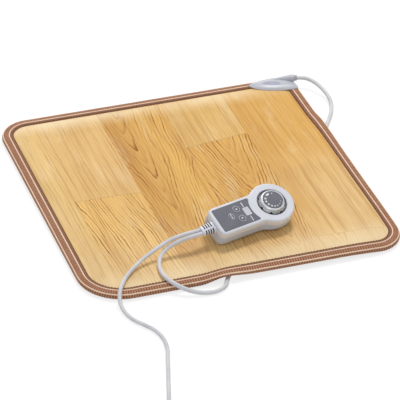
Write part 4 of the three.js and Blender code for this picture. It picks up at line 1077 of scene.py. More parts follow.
@dataclass
class PadShape:
    """Outline of the pad and its rise over the lead that runs under it, in millimetres."""

    side: float = 450.0
    corner: float = 42.0
    corner_front_left: float = 61.0
    corner_steps: int = 14
    side_steps: int = 58
    sharpest: float = 5.0
    rise: float = 7.6
    inner_reach: float = 38.0
    outer_reach: float = 52.0
    give: float = 0.5
    full: float = 9.5
    ridge_steps: int = 8
    carry_parts: int = 32

    def __post_init__(self) -> None:
        """Works out the smooth line along which the lead runs below."""
        knots = np.array(PAD_LEAD_ROUTE_MM[HIDDEN_FIRST:HIDDEN_LAST + 1])[:, :2]
        ends = np.vstack([2 * knots[0] - knots[1], knots, 2 * knots[-1] - knots[-2]])
        ridge = [knots[0]]
        for before, here, ahead, after in zip(ends, ends[1:], ends[2:], ends[3:]):
            for step in range(1, self.ridge_steps + 1):
                t = step / self.ridge_steps
                ridge.append(0.5 * (2 * here + (ahead - before) * t
                                    + (2 * before - 5 * here + 4 * ahead - after) * t ** 2
                                    + (3 * here - before - 3 * ahead + after) * t ** 3))
        self.ridge = np.array(ridge)

    def outline(self, inset: float) -> np.ndarray:
        """Outline drawn in by an inset, anticlockwise from the front right corner.

        Args:
            inset: Distance inside the pad's edge.

        Returns:
            Rows of X and Y.
        """
        corners = ((1, -1, self.corner), (1, 1, self.corner), (-1, 1, self.corner),
                   (-1, -1, self.corner_front_left))
        arcs = []
        for quarter, (x, y, radius) in enumerate(corners):
            bend = max(radius - inset, self.sharpest)
            reach = self.side / 2 - inset - bend
            angles = (quarter - 1 + np.linspace(0, 1, self.corner_steps + 1)) * QUARTER
            arc = (x * reach + bend * np.cos(angles), y * reach + bend * np.sin(angles))
            arcs.append(np.column_stack(arc))
        rows = []
        for arc, ahead in zip(arcs, arcs[1:] + arcs[:1]):
            shares = np.linspace(0, 1, self.side_steps + 2)[1:-1, None]
            rows.extend((arc, arc[-1] + (ahead[0] - arc[-1]) * shares))
        return np.vstack(rows)

    def lift(self, places: np.ndarray, heights: np.ndarray | float) -> np.ndarray:
        """How far the pad is lifted by the lead under it.

        Args:
            places: Rows of X and Y.
            heights: Heights on the flat pad, which gives more near its top.

        Returns:
            The lift at each place.
        """
        start = self.ridge[:-1]
        run = self.ridge[1:] - start
        away = places[:, None, :] - start[None]
        share = np.clip((away * run).sum(-1) / (run ** 2).sum(-1), 0, 1)
        nearest = start + share[..., None] * run
        gaps = np.linalg.norm(places[:, None, :] - nearest, axis=-1)
        closest = gaps.argmin(1)
        rows = np.arange(len(places))
        outside = np.abs(places).max(1) > np.abs(nearest[rows, closest]).max(1)
        reach = np.where(outside, self.outer_reach, self.inner_reach)
        bend = np.clip(gaps[rows, closest] / reach, 0, 1) * QUARTER
        return self.rise * np.cos(bend) ** 2 * (1 - self.give * heights / self.full)

    def ring(self, inset: float, height: float | Callable[[np.ndarray], np.ndarray]) -> list[Vector]:
        """Ring of points round the pad.

        Args:
            inset: Distance inside the pad's edge.
            height: Height before the lift, or a function that gives it.

        Returns:
            Points in metres.
        """
        places = self.outline(inset)
        base = height(places) if callable(height) else height
        heights = base + self.lift(places, base)
        return [Vector((x, y, z)) * MM for (x, y), z in zip(places, heights)]

    def carry(self, mesh: Mesh) -> None:
        """Lifts a mesh that was made for the flat pad.

        Args:
            mesh: The mesh, in metres.
        """
        points = np.empty(3 * len(mesh.vertices), dtype=np.float32)
        mesh.vertices.foreach_get("co", points)
        points = points.reshape(-1, 3) / MM
        parts = np.array_split(points, self.carry_parts)
        points[:, 2] += np.concatenate([self.lift(part[:, :2], part[:, 2]) for part in parts])
        mesh.vertices.foreach_set("co", (points * MM).ravel())
        mesh.update()


@dataclass
class SeatPad:
    """Printed top with its filling, and the woven backing, in millimetres."""

    shape: PadShape
    finishes: Finishes
    top: float = 9.2
    seam: float = 8.0
    seam_inset: float = 16.0
    ramp: float = 14.0
    filling_low: float = 1.5
    waves: tuple[float, ...] = (37.0, 61.0, 43.0, 71.0)
    wave_bends: Pair = (0.6, 0.8)
    wave_phase: float = 0.7
    slack: float = 0.45
    puff: float = 1.5
    puff_inset: float = 36.0
    puff_width: float = 18.0
    puff_start: Pair = (-40.0, 50.0)
    fold: float = 3.6
    fold_at: float = -8.0
    fold_widths: Pair = (30.0, 15.0)
    fold_start: Pair = (92.0, 147.0)
    pucker: float = 0.22
    pucker_length: float = 21.0
    pucker_bend: float = 0.7
    pucker_ratio: float = 1.7
    backing: float = 1.2
    backing_low: float = 0.05
    drawn: float = 0.9
    drawn_within: float = 24.0
    drawn_width: float = 8.0
    rim_rows: tuple[Pair, ...] = (
        (10.0, 2.6), (4.0, 5.0), (5.5, 6.4), (10.0, 7.2), (15.0, 7.9),
    )
    filling_insets: tuple[float, ...] = (212, 120, 60, 30, 22)
    edge_insets: tuple[float, ...] = (16.2, 17, 18, 19.2, 20.6, 22.4, 24.6, 27.2, 30)
    inner_insets: tuple[float, ...] = (34, 39, 45, 52, 60, 69, 79, 90, 103, 118, 135, 153, 172, 192, 212)
    backing_insets: tuple[float, ...] = (17, 20, 24, 30, 38, 48, 62, 80, 110, 150, 190, 212)

    def lay(self, places: np.ndarray) -> np.ndarray:
        """Lie of the cover: slack waves, a full edge at the back, and a soft fold on the right.

        Args:
            places: Rows of X and Y.

        Returns:
            Height of the cover before the lift.
        """
        x, y = places[:, 0], places[:, 1]
        first, second, third, fourth = self.waves
        wave = np.sin(x / first + self.wave_bends[0] * np.sin(y / second))
        wave = wave * np.sin(y / third + self.wave_bends[1] * np.sin(x / fourth) + self.wave_phase)
        inset = self.shape.side / 2 - np.abs(places).max(1)
        full = self.puff * np.exp(-((inset - self.puff_inset) / self.puff_width) ** 2)
        full = full * eased(y, *self.puff_start)
        width = np.where(y > self.fold_at, *self.fold_widths)
        fold = self.fold * np.exp(-((y - self.fold_at) / width) ** 2) * eased(x, *self.fold_start)
        return self.top - self.slack * (0.5 + 0.5 * wave) + full + fold

    def ramped(self, inset: float, places: np.ndarray) -> np.ndarray:
        """Height near the seam, where the cover is drawn down and puckers.

        Args:
            inset: Distance inside the pad's edge.
            places: Rows of X and Y.

        Returns:
            Height of the cover before the lift.
        """
        share = min((inset - self.seam_inset) / self.ramp, 1.0)
        along = (places[:, 0] + places[:, 1]) * math.tau / self.pucker_length
        across = (places[:, 0] - places[:, 1]) * math.tau / (self.pucker_ratio * self.pucker_length)
        crease = 0.5 + 0.5 * np.sin(along + self.pucker_bend * np.sin(across))
        drawn = (self.lay(places) - self.seam) * math.sqrt(1 - (1 - share) ** 2)
        return self.seam + drawn - self.pucker * (1 - share) * share * 4 * crease

    def build_top(self) -> Piece:
        """Builds the closed, padded top.

        Returns:
            The piece.
        """
        ring = self.shape.ring
        low = [ring(inset, self.filling_low) for inset in self.filling_insets]
        rim = [ring(*row) for row in self.rim_rows]
        edge = [ring(inset, partial(self.ramped, inset)) for inset in self.edge_insets]
        flat = [ring(inset, self.lay) for inset in self.inner_insets]
        return built("padded_top", *skin(low + rim + edge + flat), self.finishes[Slot.VINYL], 70.0)

    def build_backing(self) -> Piece:
        """Builds the backing cloth.

        Returns:
            The piece.
        """
        below, above = [], []
        for inset in self.backing_insets:
            drawn = self.drawn * max(0.0, (self.drawn_within - inset) / self.drawn_width)
            below.append(self.shape.ring(inset, self.backing_low + drawn))
            above.append(self.shape.ring(inset, self.backing + drawn))
        return built("backing_sheet", *skin(below[::-1] + above), self.finishes[Slot.BACKING], 60.0)

    def dress(self) -> None:
        """Builds both pieces and settles them."""
        cover = settle(self.build_top(), Body.PAD, Slot.VINYL, "top_cover", "heating_cord", "felt_core")
        settle(self.build_backing(), Body.PAD, Slot.BACKING, "bottom_cover")


@dataclass
class BoundEdge:
    """Tape sewn round the pad's edge, with two pale lines, ribs and stitches, in millimetres."""

    shape: PadShape
    finishes: Finishes
    top: float = 9.5
    width: float = 16.0
    thickness: float = 0.9
    round: float = 6.0
    crown: float = 0.25
    lip: tuple[Pair, ...] = ((0.0, 0.8), (0.4, 0.25), (1.4, 0.0))
    flat_insets: Pair = (12.6, 9.8)
    shoulder: Pair = (7.6, 0.1)
    foot_insets: Pair = (9.0, 12.0)
    foot: float = 0.05
    edge_steps: int = 14
    seam_inset: float = 15.0
    flat_line: float = 10.0
    edge_line: float = 46.0
    line_proud: float = 0.45
    line_width: float = 1.9
    line_height: float = 0.9
    stitch_pitch: float = 4.3
    stitch_length: float = 2.9
    stitch_width: float = 1.2
    stitch_sunk: float = 0.1
    stitch_sides: int = 8
    stitch_rings: int = 5
    line_sides: int = 10
    rib_sides: int = 6
    rib_steps: int = 9
    rib_pitch: float = 3.6
    rib_width: float = 2.1
    rib_sunk: float = 0.5
    rib_start: float = 9.2
    rib_sweep: float = 165.0
    plate_clear: float = 1.95
    plate_press: float = 0.1
    plate_reach: Pair = (78.0, 44.0)

    def bent(self, degrees: float, depth: float = 0.0) -> Pair:
        """Place on the rounded edge.

        Args:
            degrees: Turn from the top of the edge.
            depth: Depth inside the skin.

        Returns:
            Inset and height.
        """
        angle = math.radians(degrees)
        middle = self.top / 2
        inset = self.round - (self.round - depth) * math.sin(angle)
        return (inset, middle + (middle - depth) * math.cos(angle))

    def section(self, depth: float) -> list[Pair]:
        """Skin of the tape at a depth inside its outside, as insets and heights.

        Args:
            depth: Depth inside the skin.

        Returns:
            Insets and heights, from the top's inner edge round to the bottom's.
        """
        top = self.top - depth
        lip = [(self.width - away, top - drop) for away, drop in self.lip]
        flat = [(inset, top + self.crown) for inset in self.flat_insets]
        flat.append((self.shoulder[0], top + self.shoulder[1]))
        bend = [self.bent(180.0 * step / self.edge_steps, depth) for step in range(self.edge_steps + 1)]
        foot = [(inset, depth + self.foot) for inset in (*self.foot_insets, self.width)]
        return lip + flat + bend + foot

    def lifted(self, point: Vector) -> Vector:
        """Lifts the tape's underside off the housing's clamping plate.

        Args:
            point: A point of the tape in metres.

        Returns:
            The point, raised where the plate lies under it.
        """
        half = self.shape.side / 2
        back, right = half - point.x / MM, half - point.y / MM
        inside = back < self.plate_reach[0] and right < self.plate_reach[1]
        if inside and point.z < self.plate_clear * MM:
            point.z = self.plate_clear * MM + self.plate_press * point.z
        return point

    def build_tape(self) -> Piece:
        """Builds the tape with a UV map along and across it.

        Returns:
            The piece.
        """
        outside = self.section(0.0)
        section = outside + self.section(self.thickness)[::-1]
        rings = [[self.lifted(point) for point in self.shape.ring(*place)] for place in section]
        points, faces = skin(rings, looped=True)
        piece = built("bound_edge", points, faces, self.finishes[Slot.TAPE], 60.0)
        base = rings[len(outside) // 2]
        along, across = [0.0], [0.0]
        for here, ahead in zip(base, base[1:] + base[:1]):
            along.append(along[-1] + (ahead - here).length)
        for here, ahead in zip(section, section[1:] + section[:1]):
            across.append(across[-1] + math.dist(here, ahead) * MM)
        layer = piece.data.uv_layers.new(name="tape")
        for polygon in piece.data.polygons:
            band, step = divmod(polygon.index, len(base))
            corners = ((step, band), (step + 1, band), (step + 1, band + 1), (step, band + 1))
            for loop, (u, v) in zip(polygon.loop_indices, corners):
                layer.data[loop].uv = (along[u], across[v])
        return piece

    def build_line(self, name: str, place: Pair, tilt: float) -> Piece:
        """Builds a pale line that is woven into the tape.

        Args:
            name: Name of the piece.
            place: Inset and height of the line.
            tilt: Turn of its flat section about the line, in degrees.

        Returns:
            The piece.
        """
        rule = Rule(name, half_width=self.line_width / 2 * MM, tilt=math.radians(tilt),
                    height_share=self.line_height / self.line_width)
        flat = rule.moved(rule.circle(self.line_sides, rule.size["half_width"]),
                          Scale=rule.vector(1.0, rule.size["height_share"], 1.0))
        leaning = rule.moved(flat, Rotation=rule.vector(0.0, 0.0, rule.size["tilt"]))
        upright = rule.make("GeometryNodeSetCurveNormal", {"Curve": rule.line}, mode="Z_UP")
        tube = rule.make("GeometryNodeCurveToMesh", {"Curve": upright, "Profile Curve": leaning})
        return rule.grow(tube, self.shape.ring(*place), self.finishes.cream)

    def build_stitches(self) -> Piece:
        """Builds the row of stitches at the tape's inner edge.

        Returns:
            The piece.
        """
        rule = Rule("seam_stitches", pitch=self.stitch_pitch * MM,
                    half_length=self.stitch_length / 2 * MM, half_width=self.stitch_width / 2 * MM)
        width = rule.size["half_width"]
        sides = {"Segments": self.stitch_sides, "Rings": self.stitch_rings, "Radius": 1.0}
        bead = rule.make("GeometryNodeMeshUVSphere", sides)
        stitch = rule.moved(bead, Scale=rule.vector(rule.size["half_length"], width, width))
        line = self.shape.ring(self.seam_inset, self.top - self.stitch_sunk)
        return rule.grow(rule.repeat(stitch, rule.size["pitch"]), line, self.finishes.seam)

    def build_ribs(self) -> Piece:
        """Builds the ribs of the tape, which run from its upper line round the edge.

        Returns:
            The piece.
        """
        rule = Rule("edge_ribs", pitch=self.rib_pitch * MM, half_width=self.rib_width / 2 * MM,
                    middle=self.round * MM, reach=(self.round - self.rib_sunk) * MM,
                    rise=(self.top / 2 - self.rib_sunk) * MM, start=self.rib_start * MM,
                    sweep=math.radians(self.rib_sweep))
        middle, rise = rule.size["middle"], rule.size["rise"]
        bow = {"Resolution": self.rib_steps, "Radius": 1.0, "Start Angle": QUARTER,
               "Sweep Angle": rule.size["sweep"]}
        arc = rule.make("GeometryNodeCurveArc", bow)
        upright = rule.moved(arc, Rotation=(QUARTER, 0.0, QUARTER))
        bend = rule.moved(upright, Translation=rule.vector(0.0, middle, 0.0),
                          Scale=rule.vector(1.0, rule.size["reach"], rise))
        ends = {"Start": rule.vector(0.0, rule.size["start"], rise),
                "End": rule.vector(0.0, middle, rise)}
        path = rule.node("GeometryNodeJoinGeometry")
        for part in (bend, rule.make("GeometryNodeCurvePrimitiveLine", ends)):
            rule.feed(path.inputs[0], part)
        yarn = rule.circle(self.rib_sides, rule.size["half_width"])
        rib = rule.make("GeometryNodeCurveToMesh",
                        {"Curve": path.outputs[0], "Profile Curve": yarn, "Fill Caps": True})
        line = [Vector((x, y, self.top / 2)) * MM for x, y in self.shape.outline(0.0)]
        piece = rule.grow(rule.repeat(rib, rule.size["pitch"]), line, self.finishes.rib)
        self.shape.carry(piece.data)
        return piece

    def dress(self) -> None:
        """Builds the tape and what is woven into it or sewn through it."""
        settle(self.build_tape(), Body.PAD, Slot.TAPE, "edge_binding")
        flat = (self.flat_line, self.top + self.crown)
        bent = self.bent(self.edge_line, -self.line_proud)
        settle(self.build_line("pale_line_1", flat, 0.0), Body.PAD, Slot.TAPE)
        settle(self.build_line("pale_line_2", bent, self.edge_line), Body.PAD, Slot.TAPE)
        settle(self.build_stitches(), Body.PAD, Slot.TAPE)
        settle(self.build_ribs(), Body.PAD, Slot.TAPE)


# Rigid pieces


@dataclass
class CornerHousing:
    """Junction housing clamped on the pad's corner, in millimetres."""

    finishes: Finishes
    edge: float = 0.3
    sleeve_sharp: float = 50.0

    def dress(self) -> Piece:
        """Finishes the housing's pieces.

        Returns:
            The sleeve round the pad lead.
        """
        pale, steel = self.finishes[Slot.PALE], self.finishes[Slot.STEEL]
        for node, slot, material in (
            ("housing_upper", Slot.PALE, self.finishes.shaded_dish), ("housing_lower", Slot.PALE, pale),
            ("housing_screw_1", Slot.STEEL, steel), ("housing_screw_2", Slot.STEEL, steel),
        ):
            settle(refined_copy(node, material, self.edge), Body.PAD, slot, node)
        sleeve = refined_copy("housing_sleeve", self.finishes.collar, self.edge, self.sleeve_sharp)
        return settle(sleeve, Body.PAD, Slot.SHEATH, "housing_sleeve")


@dataclass
class Handset:
    """Two-shell controller with its printed panel, keys, display and dial, in millimetres."""

    finishes: Finishes
    place: Triple = (61.05, -112.17, 13.505)
    heading: float = 14.8
    roll: float = 22.0
    panel_top: float = 31.2
    key_top: float = 31.8
    key_x: float = -54.0
    key_spread: float = 8.1
    key_reach: float = 6.5
    power_x: float = -66.6
    power_ratio: float = 0.76
    power_bar: Pair = (8.2, 0.8)
    ring_radius: float = 4.9
    ring_width: float = 0.75
    ring_drop: float = 0.1
    ring_sunk: float = 0.12
    mark_drop: float = 0.2
    ring_steps: int = 48
    window_x: float = -41.0
    bar_width: float = 1.1
    segment_width: float = 0.55
    cap_top: float = 36.4
    print_depth: float = 0.05
    mark_ring: float = 10.6
    groove_start: float = -97.1313
    groove_pitch: float = 3.435
    groove_share: float = 0.52
    grooves: int = 4
    spine_width: float = 2.4
    spine_side: float = -2.2
    spine_edge: Pair = (0.25, 0.2)
    spine_ends: tuple[Triple, ...] = ((-111.2, 22.6, 24.92), (-96.4, 24.0, 26.5))
    well_radius: float = 21.1
    well_levels: Pair = (26.9, 30.4)
    rim_low: float = 34.3
    rim_radius: float = 14.4
    notches: int = 8
    notch_reach: float = 20.9
    notch_wall: float = 3.06
    notch_largest: float = 3.1
    notch_turn: float = -13.0
    head: Triple = (0.0, 0.0, 32.6)
    necks: tuple[Triple, ...] = ((-28.62, 41.0, 26.0), (-28.62, -41.0, 26.0))
    corners: tuple[Triple, ...] = ((-84.5, 14.0, 9.4), (-84.5, -14.0, 9.4))

    def __post_init__(self) -> None:
        """Works out the handset's place in the frame, and the axes of the dial's notches."""
        turn = Matrix.Rotation(math.radians(self.heading), 4, "Z")
        turn = turn @ Matrix.Rotation(math.radians(self.roll), 4, "X")
        self.matrix = Matrix.Translation(Vector(self.place) * MM) @ turn @ Matrix.Scale(MM, 4)
        self.scallops = []
        for index in range(self.notches):
            angle = math.tau * (index + 0.5) / self.notches + math.radians(self.notch_turn)
            x, y = self.notch_reach * math.cos(angle), self.notch_reach * math.sin(angle)
            self.scallops.append((x, y, self.notch_largest))

    def accent(self, piece: Piece, material: Material, chosen: Callable[[Vector], bool],
               corners: bool = False) -> None:
        """Gives a further material to some faces of a piece.

        Args:
            piece: The piece.
            material: The further material.
            chosen: Tells from a face's middle, in the handset's millimetres, whether it takes it.
            corners: Asks it of all the face's corners instead.
        """
        back = self.matrix.inverted()
        mesh = piece.data
        mesh.materials.append(material)
        for polygon in mesh.polygons:
            asked = [polygon.center]
            if corners:
                asked = [mesh.vertices[corner].co for corner in polygon.vertices]
            if all(chosen(back @ point) for point in asked):
                polygon.material_index = len(mesh.materials) - 1

    def printed(self, name: str, shapes: Sequence[Sequence[Pair]], height: float,
                material: Material) -> Piece:
        """Makes thin closed prints from outlines on a level of the handset.

        Args:
            name: Name of the piece.
            shapes: Outlines, anticlockwise.
            height: Level that they lie on.
            material: Their ink.

        Returns:
            The piece.
        """
        points: list[Vector] = []
        faces: list[tuple[int, ...]] = []
        for outline in shapes:
            start = len(points)
            levels = (height, height + self.print_depth)
            rings = [[self.matrix @ Vector((x, y, level)) for x, y in outline] for level in levels]
            ring_points, ring_faces = skin(rings)
            points.extend(ring_points)
            faces.extend(tuple(start + index for index in face) for face in ring_faces)
        return built(name, points, faces, material)

    def ring_print(self, name: str, centre: Pair, ratio: float) -> Piece:
        """Makes a printed ring on a key.

        Args:
            name: Name of the piece.
            centre: Middle of the ring.
            ratio: Its length over its width.

        Returns:
            The piece.
        """
        inner, outer = self.ring_radius - self.ring_width / 2, self.ring_radius + self.ring_width / 2
        level = self.key_top - self.ring_drop
        low, high = level - self.ring_sunk, level + self.print_depth
        rings = []
        for radius, height in ((inner, low), (outer, low), (outer, high), (inner, high)):
            ring = []
            for step in range(self.ring_steps):
                angle = math.tau * step / self.ring_steps
                x = centre[0] + ratio * radius * math.cos(angle)
                y = centre[1] + radius * math.sin(angle)
                ring.append(self.matrix @ Vector((x, y, height)))
            rings.append(ring)
        return built(name, *skin(rings, looped=True), self.finishes.grey)

    @staticmethod
    def bar(x: float, y: float, length: float, width: float, turn: float = 0.0) -> list[Pair]:
        """Outline of a bar.

        Args:
            x: Middle along the handset.
            y: Middle across it.
            length: Size along its own length.
            width: Size across it.
            turn: Direction of its length in radians.

        Returns:
            Its four corners.
        """
        corners = ((-length, -width), (length, -width), (length, width), (-length, width))
        cos, sin = math.cos(turn), math.sin(turn)
        return [(x + (a * cos - b * sin) / 2, y + (a * sin + b * cos) / 2) for a, b in corners]

    def in_groove(self, spot: Vector) -> bool:
        """True between the strain relief's ribs."""
        past = (self.groove_start - spot.x) / self.groove_pitch
        return 0 <= past < self.grooves and past % 1 < self.groove_share

    def in_well(self, spot: Vector) -> bool:
        """True on the floor or wall of the dial's well, which takes painted shade."""
        low, high = self.well_levels
        return low < spot.z < high and math.hypot(spot.x, spot.y) < self.well_radius

    def in_rim(self, spot: Vector) -> bool:
        """True on the rim round the dial's cap, which takes a painted highlight."""
        return spot.z > self.rim_low and math.hypot(spot.x, spot.y) > self.rim_radius

    def in_notch(self, spot: Vector) -> bool:
        """True on the wall of one of the dial's notches."""
        return any(math.hypot(spot.x - x, spot.y - y) < self.notch_wall for x, y, _ in self.scallops)

    def build_spine(self) -> Piece:
        """Makes the ridge that joins the ribs of the strain relief.

        Returns:
            The ridge.
        """
        half = self.spine_width / 2
        inward, down = self.spine_edge
        rings = []
        for along, low, high in self.spine_ends:
            side = ((half, low), (half, high - down), (half - inward, high))
            corners = [(-across, level) for across, level in side] + list(reversed(side))
            ring = [Vector((along, self.spine_side + across, level)) for across, level in corners]
            rings.append([self.matrix @ point for point in ring])
        return built("relief_spine", *skin(rings), self.finishes[Slot.CASE])

    def dress_case(self) -> None:
        """Finishes the shells, the panel and the strain relief."""
        finishes = self.finishes
        shell = RoundWalls(self.matrix, (self.head, *self.necks, *self.corners))
        spread, reach = self.key_spread, self.key_reach
        keys = RoundWalls(self.matrix, ((self.key_x, spread, reach), (self.key_x, -spread, reach)))
        for node, slot, finish, edge, walls, part, chosen in (
            # The upper case's well takes painted shade
            ("upper_case", Slot.CASE, finishes[Slot.CASE], 0.4, shell, finishes.well, self.in_well),
            # The lower shell takes the case plastic's painted shade
            ("lower_case", Slot.CASE, finishes.under, 0.4, shell, None, None),
            ("panel_overlay", Slot.FILM, finishes[Slot.FILM], 0.1, keys, None, None),
            ("display_window", Slot.WINDOW, finishes[Slot.WINDOW], 0.15, None, None, None),
            # The strain relief's grooves take painted shade
            ("strain_relief", Slot.CASE, finishes[Slot.CASE], 0.12, None, finishes.recess_shade,
             self.in_groove),
        ):
            piece = refined_copy(node, finish, edge, walls=walls)
            if part:
                self.accent(piece, part, chosen)
            settle(piece, Body.PAD, slot, node)
        settle(self.build_spine(), Body.PAD, Slot.CASE)
        for index in range(1, 5):
            node = f"case_screw_{index}"
            settle(refined_copy(node, finishes[Slot.STEEL], 0.15), Body.PAD, Slot.STEEL, node)

    def dress_panel_print(self) -> None:
        """Prints the panel's bars and the display's faint segments."""
        x = self.window_x
        bars = [self.bar(x + along, across, length, self.bar_width, QUARTER)
                for along, across, length in ((-1.2, 11.4, 7.8), (0.2, -12.6, 8.4))]
        settle(self.printed("panel_bars", bars, self.panel_top, self.finishes.white), Body.PAD, Slot.FILM)
        thin = self.segment_width
        segments = []
        for digit in (-2.9, 2.9):
            segments += [self.bar(x + along, digit, 2.6, thin, QUARTER) for along in (-2.6, 0.0, 2.6)]
            segments += [self.bar(x + along, digit + side, 1.8, thin)
                         for along in (-1.3, 1.3) for side in (-1.6, 1.6)]
        digits = self.printed("display_digits", segments, self.panel_top, self.finishes.segment)
        settle(digits, Body.PAD, Slot.WINDOW)

    def dress_keys(self) -> None:
        """Finishes the three keys and their prints."""
        up = (self.key_x, self.key_spread)
        down = (self.key_x, -self.key_spread)
        power = (self.power_x, 0.0)
        arrow = ((-1.5, -1.2), (1.5, -1.2), (0.0, 1.6))
        marks = ([(up[0] + a, up[1] + b) for a, b in arrow],
                 [(down[0] + a, down[1] - b) for a, b in reversed(arrow)],
                 self.bar(*power, *self.power_bar, QUARTER))
        for body, node, spot, ratio, mark in (
            (Body.UP_KEY, "key_up", up, 1.0, marks[0]), (Body.DOWN_KEY, "key_down", down, 1.0, marks[1]),
            (Body.POWER_KEY, "key_power", power, self.power_ratio, marks[2]),
        ):
            walls = RoundWalls(self.matrix, ((*spot, self.key_reach),))
            settle(refined_copy(node, self.finishes[Slot.KEY], 0.15, walls=walls), body, Slot.KEY, node)
            settle(self.ring_print(f"{node}_ring", spot, ratio), body, Slot.KEY)
            ink = self.printed(f"{node}_mark", [mark], self.key_top, self.finishes.white)
            settle(ink, body, Slot.KEY)

    def dress_dial(self) -> None:
        """Finishes the dial and its marks."""
        finishes = self.finishes
        walls = RoundWalls(self.matrix, (self.head, *self.scallops), 0.6, 0.9)
        knob = refined_copy("dial_knob", finishes[Slot.SILVER], 0.2, walls=walls)
        # Painted shade in the dial's notches
        self.accent(knob, finishes.recess_shade, self.in_notch)
        # Painted highlight on the rim round the cap
        self.accent(knob, finishes.rim, self.in_rim, corners=True)
        settle(knob, Body.DIAL, Slot.SILVER, "dial_knob")
        walls = RoundWalls(self.matrix, (self.head,))
        cap = refined_copy("dial_cap", finishes[Slot.FILM], 0.2, walls=walls)
        settle(cap, Body.DIAL, Slot.FILM, "dial_cap")
        marks = []
        for degrees, length, width in (
            (68, 1.5, 1.5), (105, 5.2, 2.7), (148, 2.5, 2.5), (176, 2.5, 2.5), (204, 2.5, 2.3),
            (230, 2.3, 2.0), (253, 2.0, 1.6), (275, 1.8, 1.2), (300, 1.7, 0.8), (325, 1.6, 0.6),
        ):
            angle = math.radians(degrees)
            x, y = self.mark_ring * math.cos(angle), self.mark_ring * math.sin(angle)
            marks.append(self.bar(x, y, length, width, angle + QUARTER))
        level = self.cap_top - self.mark_drop
        settle(self.printed("dial_marks", marks, level, finishes.white), Body.DIAL, Slot.FILM)

    def dress(self) -> None:
        """Finishes the whole handset."""
        self.dress_case()
        self.dress_panel_print()
        self.dress_keys()
        self.dress_dial()


@dataclass
class InnerWorks:
    """Pieces inside the closed shells, which keep their solids."""

    finishes: Finishes
    parts: tuple[tuple[str, Slot], ...] = (
        ("thermostat", Slot.STEEL), ("thermal_fuse", Slot.PALE), ("display_module", Slot.DARK),
        ("key_up_switch", Slot.DARK), ("key_down_switch", Slot.DARK), ("key_power_switch", Slot.DARK),
        ("dial_shaft", Slot.STEEL), ("potentiometer", Slot.STEEL), ("circuit_board", Slot.BOARD),
        ("relay", Slot.DARK), ("capacitor", Slot.DARK), ("terminal_block", Slot.PALE),
    )

    def dress(self) -> None:
        """Gives each solid its material."""
        for node, slot in self.parts:
            painted(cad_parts[node].data, self.finishes[slot])
            LOG.info("%s keeps its solid", node)


# Leads


@dataclass
class Leads:
    """Pad lead, and the mains lead with its stored coil, tie and plug."""

    finishes: Finishes
    pad_diameter: float = 6.0 * MM
    mains_diameter: float = 5.4 * MM
    mains_length: float = 1.8
    coil_centre: Pair = (-178.8, -520.1)
    coil_radii: tuple[float, ...] = (36.4, 31.0, 25.6)
    coil_low: float = 4.15
    coil_high: float = 9.55
    coil_start: float = 161.4
    coil_end_turn: float = 0.30
    turn_steps: int = 16
    round_steps: int = 5
    spline_steps: int = 8
    crossing: float = 0.3

    def coil(self) -> list[Vector]:
        """Turns of the stored length: inwards on the lower layer, outwards on the upper one.

        Returns:
            Points in metres.
        """
        levels = [(radius, self.coil_low) for radius in self.coil_radii]
        levels += [(radius, self.coil_high) for radius in reversed(self.coil_radii)]
        levels.append(levels[-1])
        turns = len(levels) - 1 + self.coil_end_turn
        count = round(turns * self.turn_steps)
        points = []
        for step in range(count + 1):
            turn = turns * step / count
            here = min(int(turn + 1e-9), len(levels) - 1)
            ahead = min(here + 1, len(levels) - 1)
            share = eased(turn, here + 1 - self.crossing, here + 1)
            radius, height = (a + (b - a) * share for a, b in zip(levels[here], levels[ahead]))
            angle = math.radians(self.coil_start) + math.tau * turn
            x = self.coil_centre[0] + radius * math.cos(angle)
            y = self.coil_centre[1] + radius * math.sin(angle)
            points.append((x, y, height))
        return metres(points)

    def run(self, name: str, points: Sequence[Vector], diameter: float, material: Material) -> Piece:
        """Makes a lead on one smooth spline.

        Args:
            name: Name of the piece.
            points: Places along it.
            diameter: Its thickness.
            material: Its sheath.

        Returns:
            The curve object.
        """
        curve = bpy.data.curves.new(name, "CURVE")
        curve.dimensions = "3D"
        curve.bevel_depth = diameter / 2
        curve.bevel_resolution = self.round_steps
        curve.resolution_u = self.spline_steps
        curve.use_fill_caps = True
        spline = curve.splines.new("BEZIER")
        spline.bezier_points.add(len(points) - 1)
        for knot, point in zip(spline.bezier_points, points):
            knot.co = point
            knot.handle_left_type = "AUTO"
            knot.handle_right_type = "AUTO"
        curve.materials.append(material)
        return shown(name, curve)

    @staticmethod
    def length(points: Sequence[Vector]) -> float:
        """Length of a line through points."""
        return sum((ahead - here).length for here, ahead in zip(points, points[1:]))

    def dress(self, sleeve: Piece) -> None:
        """Builds both leads and what is on them.

        Args:
            sleeve: The sleeve that the pad lead leaves the housing through; not used.
        """
        sheath = self.finishes[Slot.SHEATH]
        route = metres(PAD_LEAD_ROUTE_MM)
        pad_lead = self.run("pad_lead_run", route, self.pad_diameter, sheath)
        settle(pad_lead, Body.PAD, Slot.SHEATH, "pad_lead")
        tuple(route[0])
        for node, slot in (("plug_body", Slot.SHEATH), ("plug_pin_1", Slot.PIN),
                           ("plug_pin_2", Slot.PIN), ("cord_tie", Slot.DARK)):
            settle(refined_copy(node, self.finishes[slot], 0.3), Body.PAD, slot, node)
        route = metres(MAINS_ROUTE_MM) + self.coil() + metres(MAINS_TAIL_MM)
        LOG.info("mains lead measures %.3f m", self.length(route))
        mains = self.run("mains_lead_run", route, self.mains_diameter, sheath)
        settle(mains, Body.PAD, Slot.SHEATH, "mains_lead", "mains_coil", "mains_tail")
        tuple(route[0])


# Studio


